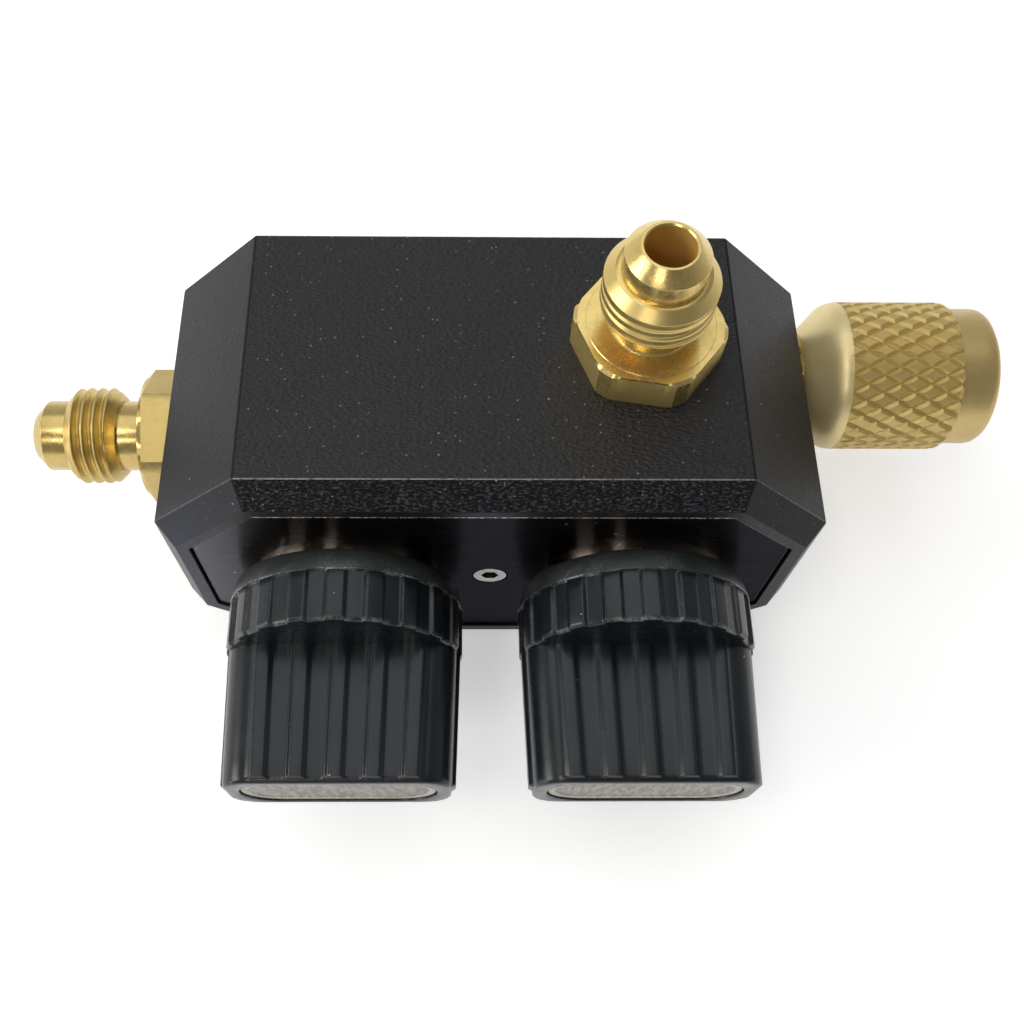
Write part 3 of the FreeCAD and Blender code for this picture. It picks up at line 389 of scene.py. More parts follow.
@dataclass(frozen=True)
class MouldedPlastic:
    """Glossy black plastic with a faint blue cast, and lighter broken marks on its edges and rib tops:
    partly scuffing from handling, partly painted glints and highlights.
    """

    name: str
    color: Color = (0.0085, 0.0110, 0.0135)
    rubbed: Color = (0.38, 0.39, 0.40)
    roughness: float = 0.25
    dust_color: Color = (0.40, 0.40, 0.39)

    def build(self) -> bpy.types.Material:
        """Make the material.

        Returns:
            The new material.
        """
        graph = Graph(self.name)
        ripple = graph.noise(0.40, 2.0, graph.stretched((1.0, 0.35, 1.0)))
        skin = graph.noise(4.0, 3.0, roughness=0.6)
        clouds = graph.noise(0.5, 4.0, graph.stretched((1.0, 0.5, 1.0)), 0.6)
        glint_crumbs = graph.noise(3.0, 3.0, roughness=0.7)
        stretches = graph.ramp(graph.noise(0.32, 2.0), 0.42, 0.58, 0.15, 1.0)
        # Wear and painted glints: the points the mesh marks are painted lighter in broken stretches; on
        # the paddle's rib tops this is a painted highlight.
        worn_and_glinting = graph.calc("MULTIPLY", graph.mark("wear_and_glint"), graph.ramp(glint_crumbs, 0.46, 0.60, 0.30, 1.0))
        worn_and_glinting = graph.calc("MULTIPLY", worn_and_glinting, stretches)
        hazy = tuple(1.4 * value for value in self.color)
        color = graph.mix(graph.ramp(graph.noise(0.12, 3.0), 0.4, 0.7), self.color, hazy)
        color = graph.mix(graph.calc("MULTIPLY", worn_and_glinting, 0.8), color, self.rubbed)
        color = graph.mix(graph.specks(0.5, 0.045, 0.35), color, self.dust_color)
        rough = graph.ramp(clouds, 0.3, 0.7, self.roughness - 0.03, self.roughness + 0.06)
        normal = graph.bump(skin, 0.0012, graph.bump(ripple, 0.02))
        return graph.surface(Base_Color=color, Roughness=rough, Specular_IOR_Level=0.42, Normal=normal)


@dataclass(frozen=True)
class PaleStrip:
    """The blank strip of a knob: cream plastic, a little soiled."""

    name: str
    color: Color
    soil: Color
    soiling: float

    def build(self) -> bpy.types.Material:
        """Make the material.

        Returns:
            The new material.
        """
        graph = Graph(self.name)
        stains = graph.noise(1.1, 5.0, graph.stretched((1.5, 1.0, 0.4)), 0.7)
        fine = graph.noise(6.0, 2.0)
        share = graph.calc("MULTIPLY", graph.ramp(stains, 0.42, 0.57), self.soiling)
        return graph.surface(Base_Color=graph.mix(share, self.color, self.soil), Roughness=0.38,
                             Normal=graph.bump(fine, 0.004))


@dataclass(frozen=True)
class PlainFinish:
    """A seal, ring or other inner piece, with a little unevenness in its colour and skin."""

    name: str
    color: Color
    roughness: float
    metallic: float = 0.0
    unevenness: float = 0.004

    def build(self) -> bpy.types.Material:
        """Make the material.

        Returns:
            The new material.
        """
        graph = Graph(self.name)
        fine = graph.noise(4.0, 3.0, roughness=0.6)
        darker = tuple(0.7 * value for value in self.color)
        color = graph.mix(graph.ramp(graph.noise(0.4, 3.0), 0.35, 0.7), self.color, darker)
        rough = graph.ramp(fine, 0.3, 0.7, self.roughness - 0.05, self.roughness + 0.05)
        return graph.surface(Base_Color=color, Metallic=self.metallic, Roughness=rough,
                             Normal=graph.bump(fine, self.unevenness))


def rounded(corners: Sequence[tuple[float, float, float]], closed: bool = False,
            steps: int = 4) -> list[Pair]:
    """Round the corners of an outline.

    Args:
        corners: Points with the radius of the rounding at each.
        closed: Whether the last point joins the first.
        steps: Faces in each rounding.

    Returns:
        The points of the outline. Each corner with a radius gives steps + 1 of them.
    """
    points: list[Pair] = []
    count = len(corners)
    for i, (u, v, radius) in enumerate(corners):
        if radius <= 0.0 or (not closed and i in (0, count - 1)):
            points.append((u, v))
            continue
        here = Vector((u, v))
        before = (Vector(corners[i - 1][:2]) - here).normalized()
        after = (Vector(corners[(i + 1) % count][:2]) - here).normalized()
        half = before.angle(after) / 2.0
        centre = here + (before + after).normalized() * (radius / math.sin(half))
        first = here + before * (radius / math.tan(half)) - centre
        last = here + after * (radius / math.tan(half)) - centre
        turn = math.atan2(first.x * last.y - first.y * last.x, first.dot(last))
        for k in range(steps + 1):
            spin = Matrix.Rotation(turn * k / steps, 2)
            points.append(tuple(centre + spin @ first))
    return points


def divided(points: Sequence[Pair], step: float) -> list[Pair]:
    """Divide the runs of an outline.

    Args:
        points: The outline.
        step: What no run may be longer than.

    Returns:
        The outline with more points.
    """
    fine = [points[0]]
    for (u0, v0), (u1, v1) in zip(points, points[1:]):
        parts = max(1, math.ceil(math.hypot(u1 - u0, v1 - v0) / step))
        fine += [(u0 + (u1 - u0) * k / parts, v0 + (v1 - v0) * k / parts) for k in range(1, parts + 1)]
    return fine


class Skin:
    """The points and faces of one piece as they are laid down, in millimetres."""

    def __init__(self) -> None:
        """Start with nothing."""
        self.points: list[Sequence[float]] = []
        self.faces: list[Sequence[int]] = []
        self.tints: list[int] = []
        self.marks: list[float] = []
        self.last: Optional[np.ndarray] = None
        self.first: Optional[np.ndarray] = None

    def ring(self, points: Sequence[Sequence[float]], tint: object = 0, marks: object = 0.0) -> None:
        """Lay a ring of points and join it to the ring before it.

        Args:
            points: As many points as the ring before it has.
            tint: The finish of the faces up to the ring before it, or one for each face.
            marks: The mark of the points, or one for each point.
        """
        count = len(points)
        start = len(self.points)
        here = np.arange(start, start + count)
        self.points.extend(points)
        self.marks.extend(np.broadcast_to(marks, count).tolist())
        if self.last is not None:
            self.join(self.last, here, tint)
        else:
            self.first = here
        self.last = here

    def join(self, before: np.ndarray, here: np.ndarray, tint: object = 0) -> None:
        """Join two rings of points with faces.

        Args:
            before: The numbers of one ring's points.
            here: The numbers of the other's.
            tint: The finish of the faces, or one for each.
        """
        count = len(here)
        tints = np.broadcast_to(tint, count)
        for k in range(count):
            after = (k + 1) % count
            self.faces.append((before[k], before[after], here[after], here[k]))
            self.tints.append(int(tints[k]))

    def cap(self, ring: np.ndarray, tint: int = 0) -> None:
        """Close a ring with one flat face."""
        self.faces.append(tuple(int(i) for i in ring))
        self.tints.append(tint)

    def caps(self, tint: int = 0) -> None:
        """Close the first and the last ring."""
        self.cap(self.first, tint)
        self.cap(self.last, tint)

    def finish(self, name: str, matrix: Matrix, limits: Sequence[float] = (30.0,),
               mark: str = "groove") -> bpy.types.Object:
        """Make the piece.

        Args:
            name: The piece's name.
            matrix: Where its own millimetres lie in the part's frame, in metres.
            limits: For each finish, the angle in degrees from which its edges are sharp.
            mark: The name of the mark on its points.

        Returns:
            The new object.
        """
        mesh = bpy.data.meshes.new(name)
        faces = [tuple(map(int, face)) for face in self.faces]
        mesh.from_pydata([tuple(point) for point in self.points], [], faces)
        for _ in range(max(self.tints) + 1):
            mesh.materials.append(None)
        mesh.polygons.foreach_set("material_index", self.tints)
        layer = mesh.attributes.new(mark, "FLOAT", "POINT")
        layer.data.foreach_set("value", np.array(self.marks, np.float32))
        mesh.transform(matrix)
        piece = placed(name, mesh)
        settle(piece, limits)
        return piece


def placed(name: str, data: bpy.types.ID) -> bpy.types.Object:
    """Put a mesh, lamp or camera in the scene.

    Args:
        name: The name of the object.
        data: Its mesh, lamp or camera data.

    Returns:
        The new object.
    """
    thing = bpy.data.objects.new(name, data)
    bpy.context.scene.collection.objects.link(thing)
    return thing


def settle(piece: bpy.types.Object, limits: Sequence[float]) -> None:
    """Turn a mesh's faces outwards and mark its sharp edges.

    Args:
        piece: The piece.
        limits: For each finish, the angle in degrees from which its edges are sharp.
    """
    mesh = bmesh.new()
    mesh.from_mesh(piece.data)
    bmesh.ops.remove_doubles(mesh, verts=mesh.verts, dist=1e-7)
    bmesh.ops.dissolve_degenerate(mesh, edges=mesh.edges, dist=1e-7)
    bmesh.ops.recalc_face_normals(mesh, faces=mesh.faces)
    for face in mesh.faces:
        face.smooth = True
    final = len(limits) - 1
    for edge in mesh.edges:
        limit = max((limits[min(face.material_index, final)] for face in edge.link_faces), default=0.0)
        edge.smooth = len(edge.link_faces) == 2 and edge.calc_face_angle(0.0) < math.radians(limit)
    mesh.to_mesh(piece.data)
    mesh.free()


def even_normals(piece: bpy.types.Object) -> None:
    """Keep large flat faces flat in the shading, beside their rounded edges."""
    even = piece.modifiers.new("even", "WEIGHTED_NORMAL")
    even.keep_sharp = True


class Change(Enum):
    """What tools do to a piece."""

    CUT = "DIFFERENCE"
    WELD = "UNION"


def carve(piece: bpy.types.Object, tools: Sequence[bpy.types.Object],
          change: Change = Change.CUT) -> None:
    """Cut tools out of a piece, or weld them to it, and remove them.

    Args:
        piece: The piece that changes.
        tools: The pieces that cut or join it.
        change: What the tools do.
    """
    for tool in tools:
        step = piece.modifiers.new("carve", "BOOLEAN")
        step.operation = change.value
        step.solver = "EXACT"
        step.object = tool
    view = bpy.context.evaluated_depsgraph_get()
    mesh = bpy.data.meshes.new_from_object(piece.evaluated_get(view))
    piece.modifiers.clear()
    old = piece.data
    piece.data = mesh
    mesh.name = piece.name
    bpy.data.meshes.remove(old)
    for tool in tools:
        bpy.data.objects.remove(tool)


class Turning:
    """A turned piece, whose rings may leave the round for threads and flats."""

    def __init__(self, angles: Sequence[float]) -> None:
        """Start a piece.

        Args:
            angles: The angles of each ring's points, in degrees.
        """
        self.angles = np.radians(np.asarray(angles, float))
        self.skin = Skin()

    def path(self, corners: Sequence[tuple], tint: object = 0, shape: Optional[Shape] = None,
             step: float = 0.0, marks: Optional[Shape] = None) -> "Turning":
        """Follow an outline.

        Args:
            corners: Places along the axis, radii, and how far each corner is rounded.
            tint: The finish, or one for each column of faces.
            shape: Gives the radii of a ring from its angles, place and plain radius.
            step: The longest run between rings, or 0 for any.
            marks: Gives the marks of a ring as shape gives its radii.

        Returns:
            The piece itself.
        """
        points = rounded([(*corner, 0.0)[:3] for corner in corners])
        if step:
            points = divided(points, step)
        count = len(self.angles)
        for along, radius in points:
            radii = shape(self.angles, along, radius) if shape else np.full(count, radius)
            ring = np.stack([radii * np.cos(self.angles), radii * np.sin(self.angles),
                             np.full(count, along)], axis=-1)
            self.skin.ring(ring, tint, marks(self.angles, along, radius) if marks else 0.0)
        return self

    def loop(self) -> "Turning":
        """Join the last ring to the first, for a piece with a way through."""
        self.skin.join(self.skin.last, self.skin.first)
        return self

    def caps(self) -> "Turning":
        """Close both ends, for a piece without a way through."""
        self.skin.caps()
        return self


def even_angles(count: int) -> np.ndarray:
    """Give evenly spaced angles in degrees."""
    return np.arange(count) * 360.0 / count


def axis_matrix(origin: Sequence[float], rotation: Matrix) -> Matrix:
    """Give the place of a piece whose own z runs along its axis.

    Args:
        origin: Where its own origin lies, in millimetres in the part's frame.
        rotation: Turns its own axes to the part's.

    Returns:
        The matrix from its millimetres to the part's metres.
    """
    return Matrix.Translation(Vector(origin) * MM) @ rotation @ Matrix.Scale(MM, 4)


def turn(degrees: float, axis: str) -> Matrix:
    """Give a turn about an axis."""
    return Matrix.Rotation(math.radians(degrees), 4, axis)


FORWARD = turn(90.0, "X")
TO_LEFT = turn(-90.0, "Y")
TO_RIGHT = turn(90.0, "Y")
UPWARD = Matrix.Identity(4)


def dress(piece: bpy.types.Object, *finishes: bpy.types.Material) -> None:
    """Give a piece its finishes.

    Args:
        piece: The piece.
        finishes: Its finishes, in the order of its tints.
    """
    slots = piece.data.materials
    while len(slots) < len(finishes):
        slots.append(None)
    for i, finish in enumerate(finishes):
        slots[i] = finish


def seat(piece: bpy.types.Object, body: str, slot: str, *nodes: str) -> None:
    """Let a piece move with a body and stand for nodes of the model.

    Args:
        piece: The piece.
        body: The body that it moves with.
        slot: The name of a material slot; not used.
        nodes: The nodes that it stands for.
    """
    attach(piece, body)
    if nodes:
        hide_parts(*nodes)
    log.info("%s on %s: %d faces", piece.name, body, len(piece.data.polygons))


def cutter(name: str, matrix: Matrix, corners: Sequence[tuple], count: int = 64) -> bpy.types.Object:
    """Make a round tool that cuts a hole.

    Args:
        name: The tool's name.
        matrix: Where it lies.
        corners: Its outline, as places along its axis and radii.
        count: Its faces around.

    Returns:
        The tool.
    """
    return Turning(even_angles(count)).path(corners).caps().skin.finish(name, matrix)


@dataclass
class ValveBlock:
    """The eight-sided block with its panel and the small screw of the panel."""

    width: float = 70.0
    height: float = 38.0
    depth: float = 32.0
    chamfer: float = 9.7
    slope_depth: float = 2.5
    slope_inset: float = 2.2
    rim_band: float = 1.35
    panel_gap: float = 0.17
    panel_setback: float = 0.3
    panel_thickness: float = 3.0
    long_edge: float = 0.45
    front_edge: float = 0.19
    rim_edge: float = 0.13
    panel_edge: float = 0.2
    worn_strip: float = 0.26
    rear_edge: float = 0.35
    core_inset: float = 8.0
    top_facet: int = 3
    under_facet: int = 7
    arc_steps: int = 4
    valve_x: float = 15.55
    valve_z: float = 19.0
    port_depth: float = 17.9
    gallery_depth: float = 26.5
    bonnet_bore: float = 8.0
    bonnet_bore_end: float = 10.4
    chamber_bore: float = 6.5
    chamber_end: float = 23.2
    passage: float = 2.5
    gallery: float = 2.75
    tail_bore: float = 4.9
    ring_seat: float = 6.11
    ring_seat_depth: float = 1.26
    tail_depth: float = 9.0
    swivel_bore: float = 4.05
    plate_hole: float = 8.3
    screw_bore: float = 1.25
    screw_length: float = 9.0
    screw_tip: float = 1.0
    screw_bevel: float = 0.4
    screw_head: float = 1.95
    screw_gap: float = 0.06
    screw_sink: float = 1.2
    socket_flats: float = 1.7
    socket_depth: float = 0.9
    socket_mouth: float = 1.05

    def left_port(self) -> tuple[float, float, float]:
        """Give the middle of the left port's mouth."""
        return (-self.width / 2, self.port_depth - self.depth / 2, self.valve_z)

    def top_port(self) -> tuple[float, float, float]:
        """Give the middle of the top port's mouth."""
        return (self.valve_x, self.port_depth - self.depth / 2, self.height)

    def swivel_port(self) -> tuple[float, float, float]:
        """Give the middle of the swivel port's mouth."""
        return (self.width / 2, self.gallery_depth - self.depth / 2, self.valve_z)

    def octagon(self, inset: float, radius: float) -> list[Pair]:
        """Give the block's outline.

        Args:
            inset: How far it is set in.
            radius: The rounding of its corners.

        Returns:
            The points of the outline, across and up.
        """
        side = self.width / 2 - inset
        low, high = inset, self.height - inset
        leg = self.chamfer - inset * (2 - math.sqrt(2))
        corners = [(side - leg, low), (side, low + leg), (side, high - leg), (side - leg, high),
                   (leg - side, high), (-side, high - leg), (-side, low + leg), (leg - side, low)]
        return rounded([(x, z, radius) for x, z in corners], closed=True, steps=self.arc_steps)

    def column_tints(self, facets: dict[int, int], plain: int) -> np.ndarray:
        """Give a finish to each column of faces round the outline.

        Args:
            facets: Finishes of single facets, by their number.
            plain: The finish of the rest.

        Returns:
            One finish for each column.
        """
        per_corner = self.arc_steps + 1
        tints = np.full(8 * per_corner, plain)
        for facet, tint in facets.items():
            tints[facet * per_corner + self.arc_steps] = tint
        return tints

    def bar(self) -> bpy.types.Object:
        """Build the block: sides, sloped front edge, rim band and the recess for the panel.

        Returns:
            The block without its holes.
        """
        recess = self.slope_inset + self.rim_band
        floor = self.panel_setback + self.panel_thickness
        corners = [(self.depth, self.core_inset, 0.0), (self.depth, 0.0, self.rear_edge),
                   (self.slope_depth, 0.0, self.front_edge), (0.0, self.slope_inset, self.rim_edge),
                   (0.0, recess - self.worn_strip, 0.0), (0.0, recess, self.rim_edge / 2),
                   (floor, recess, 0.0), (floor, self.core_inset, 0.0)]
        pebbled, smooth, edge, rugged, dull, chipped_and_highlit = range(6)
        grained = self.column_tints({self.top_facet: pebbled, self.under_facet: pebbled}, smooth)
        sloped = self.column_tints({self.top_facet: rugged, self.under_facet: rugged}, smooth)
        # On the top facet only, the inner edge of the rim band and the rounded front edge get lighter
        # broken stretches: partly wear, partly painted highlight.
        rubbed = self.column_tints({self.top_facet: chipped_and_highlit}, smooth)
        front = self.column_tints({self.top_facet: edge}, dull)
        slope_ring = 2 * self.arc_steps + 3
        strip_ring = slope_ring + self.arc_steps + 2
        skin = Skin()
        for i, (depth, inset) in enumerate(rounded(corners, steps=self.arc_steps)):
            radius = max(self.long_edge - 0.1 * inset, 0.1)
            ring = [(x, depth - self.depth / 2, z) for x, z in self.octagon(inset, radius)]
            tint = grained
            if self.arc_steps + 2 < i < slope_ring:
                tint = front
            elif i == slope_ring:
                tint = sloped
            elif strip_ring <= i <= strip_ring + self.arc_steps:
                tint = rubbed
            elif i > slope_ring:
                tint = smooth
            skin.ring(ring, tint)
        skin.caps(smooth)
        return skin.finish("block_bar", Matrix.Scale(MM, 4), (30.0, 30.0, 60.0))

    def bores(self) -> list[bpy.types.Object]:
        """Make the tools that cut the valve chambers, ports and gallery.

        Returns:
            The tools.
        """
        rim = -self.depth / 2
        tools = []
        for side in (-1, 1):
            origin = (side * self.valve_x, rim, self.valve_z)
            steps = [(0.0, self.bonnet_bore), (-self.bonnet_bore_end, self.bonnet_bore),
                     (-self.bonnet_bore_end, self.chamber_bore), (-self.chamber_end, self.chamber_bore),
                     (-self.chamber_end, self.passage), (-self.gallery_depth, self.passage)]
            tools.append(cutter("valve_bore", axis_matrix(origin, FORWARD), steps))
        ports = (("left_port", self.left_port(), TO_LEFT, self.width / 2 - self.valve_x),
                 ("top_port", self.top_port(), UPWARD, self.height - self.valve_z))
        for name, origin, rotation, reach in ports:
            steps = [(1.0, self.ring_seat), (-self.ring_seat_depth, self.ring_seat),
                     (-self.ring_seat_depth, self.tail_bore), (-self.tail_depth, self.tail_bore),
                     (-self.tail_depth, self.passage), (-reach, self.passage)]
            tools.append(cutter(name, axis_matrix(origin, rotation), steps))
        reach = self.width / 2 + self.valve_x + self.passage + 0.8
        steps = [(1.0, self.swivel_bore), (-self.tail_depth, self.swivel_bore),
                 (-self.tail_depth, self.gallery), (-reach, self.gallery)]
        tools.append(cutter("gallery", axis_matrix(self.swivel_port(), TO_RIGHT), steps))
        return tools

    def panel(self) -> bpy.types.Object:
        """Build the panel with its holes.

        Returns:
            The panel.
        """
        inset = self.slope_inset + self.rim_band + self.panel_gap
        back = self.panel_setback + self.panel_thickness
        front = self.panel_setback
        corners = [(back, self.core_inset, 0.0), (back, inset, 0.0), (front, inset, self.panel_edge),
                   (front, self.core_inset, 0.0)]
        skin = Skin()
        for i, (depth, offset) in enumerate(rounded(corners, steps=self.arc_steps)):
            tint = 1 if 2 < i <= self.arc_steps + 2 else 0
            skin.ring([(x, depth - self.depth / 2, z) for x, z in self.octagon(offset, 0.3)], tint)
        skin.caps()
        piece = skin.finish("brushed_panel", Matrix.Scale(MM, 4))
        rim = -self.depth / 2
        tools = []
        for side in (-1, 1):
            origin = (side * self.valve_x, rim, self.valve_z)
            steps = [(1.0, self.plate_hole), (-back - 1.0, self.plate_hole)]
            tools.append(cutter("hole", axis_matrix(origin, FORWARD), steps, 96))
        head = self.screw_head + self.screw_gap
        steps = [(1.0, head), (-front, head), (-front - self.screw_sink, self.screw_bore),
                 (-back - 1.0, self.screw_bore)]
        tools.append(cutter("screw_hole", axis_matrix((0.0, rim, self.valve_z), FORWARD), steps))
        carve(piece, tools)
        settle(piece, (30.0,))
        return piece

    def screw(self) -> bpy.types.Object:
        """Build the countersunk screw with its hexagonal socket.

        Returns:
            The screw.
        """
        shank = self.screw_bore - 0.05
        half = self.socket_flats / 2
        end = self.screw_tip - self.screw_length
        turning = Turning(even_angles(72))
        turning.path([(-self.socket_depth, 0.3), (-self.socket_depth, half), (-0.05, half)], 1,
                     flats_shape(self.socket_flats, 0.0))
        turning.path([(0.0, self.socket_mouth), (0.0, self.screw_head, 0.12), (-self.screw_sink, shank),
                      (end + self.screw_bevel, shank), (end, shank - self.screw_bevel)])
        turning.caps()
        origin = (0.0, -self.depth / 2 + self.panel_setback, self.valve_z)
        return turning.skin.finish("panel_screw", axis_matrix(origin, FORWARD))

    def build(self) -> None:
        """Build and dress the block, its panel and screw."""
        # All three finishes carry painted glint specks; the pebbled and rugged ones also have painted
        # highlights on their pebble peaks, and the smooth one has a painted sheen at its left end.
        pebbled = Anodised("black_pebbled").build()
        smooth = Anodised("black_smooth", (0.0075, 0.0078, 0.0095), (0.0095, 0.0092, 0.0100),
                          roughness=0.38, pebble_depth=0.025, fine_depth=0.010, painted_glint=0.06,
                          level=0.17, glint_crumbs=0.0, painted_left_sheen=0.22).build()
        rugged = Anodised("black_rugged", (0.0045, 0.0042, 0.0055), (0.0055, 0.0050, 0.0055),
                          roughness=0.32, pebble_depth=0.24, fine_depth=0.030, painted_glint=0.20,
                          level=0.11, pebble_scale=3.6, pebble_stretch=(0.7, 1.6, 1.6),
                          glint_crumbs=0.36).build()
        # The two lighter edge finishes are partly wear and partly painted highlight; the dull one is
        # wear.
        worn_and_glinting = WornEdge("black_worn_highlit_edge", share=0.36).build()
        dull = WornEdge("black_dull_edge", bare=(0.085, 0.085, 0.092)).build()
        chipped_and_highlit = WornEdge("black_chipped_highlit_edge", bare=(0.62, 0.60, 0.58)).build()
        block = self.bar()
        carve(block, self.bores())
        settle(block, (30.0, 30.0, 60.0))
        even_normals(block)
        dress(block, pebbled, smooth, worn_and_glinting, rugged, dull, chipped_and_highlit)
        seat(block, "block", "block_black", "housing")
        panel = self.panel()
        dress(panel, BrushedBlack("black_brushed").build(), dull)
        even_normals(panel)
        seat(panel, "block", "plate_black", "front_plate")
        screw = self.screw()
        centre = (0.0, 0.0, self.valve_z)
        steel = TurnedMetal("steel_screw", Axis.Y, centre, (0.52, 0.51, 0.50), (0.40, 0.39, 0.38))
        # The hexagonal socket is painted nearly black as painted shade in its hollow.
        dress(screw, steel.build(), PlainFinish("screw_socket", (0.03, 0.03, 0.03), 0.5, 0.6).build())
        seat(screw, "block", "steel", "plate_screw")


def flats_shape(flats: float, turned: float, corner: float = math.inf) -> Shape:
    """Give the shape of a hexagon.

    Args:
        flats: Its width from flat to flat.
        turned: How far it is turned, in degrees, from a corner on the x axis.
        corner: The radius to which its corners are turned down.

    Returns:
        The shape. It doesn't depend on the plain radius.
    """
    sextant = math.pi / 3

    def shape(angles: np.ndarray, along: float, radius: float) -> np.ndarray:
        """Give the radii of one ring."""
        off = np.mod(angles - math.radians(turned), sextant) - sextant / 2
        return np.minimum(flats / 2 / np.cos(off), corner)

    return shape


def hexagon_angles(turned: float, flat_half: float, flat_parts: int, corner_parts: int) -> np.ndarray:
    """Give angles that meet the edges of a hexagon with turned corners.

    Args:
        turned: How far it is turned, in degrees, from a corner on the x axis.
        flat_half: Half the angle that a flat takes up, in degrees.
        flat_parts: Faces across a flat.
        corner_parts: Faces across a corner.

    Returns:
        The angles in degrees.
    """
    middle = 30.0
    flat = np.linspace(middle - flat_half, middle + flat_half, flat_parts + 1)[:-1]
    corner = np.linspace(middle + flat_half, 2 * middle + middle - flat_half, corner_parts + 1)[:-1]
    sextant = np.concatenate([flat, corner])
    return np.concatenate([sextant + turned + 60.0 * k for k in range(6)])


@dataclass
class Thread:
    """A screw thread with rounded crests that fades out at its ends."""

    start: float
    end: float
    radius: float
    depth: float = 0.62
    pitch: float = 1.27
    crest: float = 1.6
    fade: float = 0.9
    phase: float = 0.0
    inner: bool = False

    def height(self, angles: np.ndarray, along: float) -> np.ndarray:
        """Give how deep the thread is cut.

        Args:
            angles: The angles of a ring's points, in radians.
            along: The ring's place along the axis.

        Returns:
            The depths, from 0 at a crest to 1 at a root.
        """
        wave = 0.5 - 0.5 * np.cos(2 * math.pi * (along / self.pitch + self.phase) - angles)
        rise = max((along - self.start) / self.fade, 0.0)
        fall = max((self.end - along) / self.fade, 0.0)
        return wave ** self.crest * min(rise, fall, 1.0)

    def mark(self, angles: np.ndarray, along: float, radius: float) -> np.ndarray:
        """Give the marks of one ring, which darken the roots."""
        return self.height(angles, along)

    def shape(self, angles: np.ndarray, along: float, radius: float) -> np.ndarray:
        """Give the radii of one ring.

        Args:
            angles: The angles of its points, in radians.
            along: Its place along the axis.
            radius: Its radius without the thread.

        Returns:
            The radii.
        """
        cut = self.height(angles, along) * self.depth
        if self.inner:
            return radius + cut
        return np.minimum(radius, self.radius - cut)


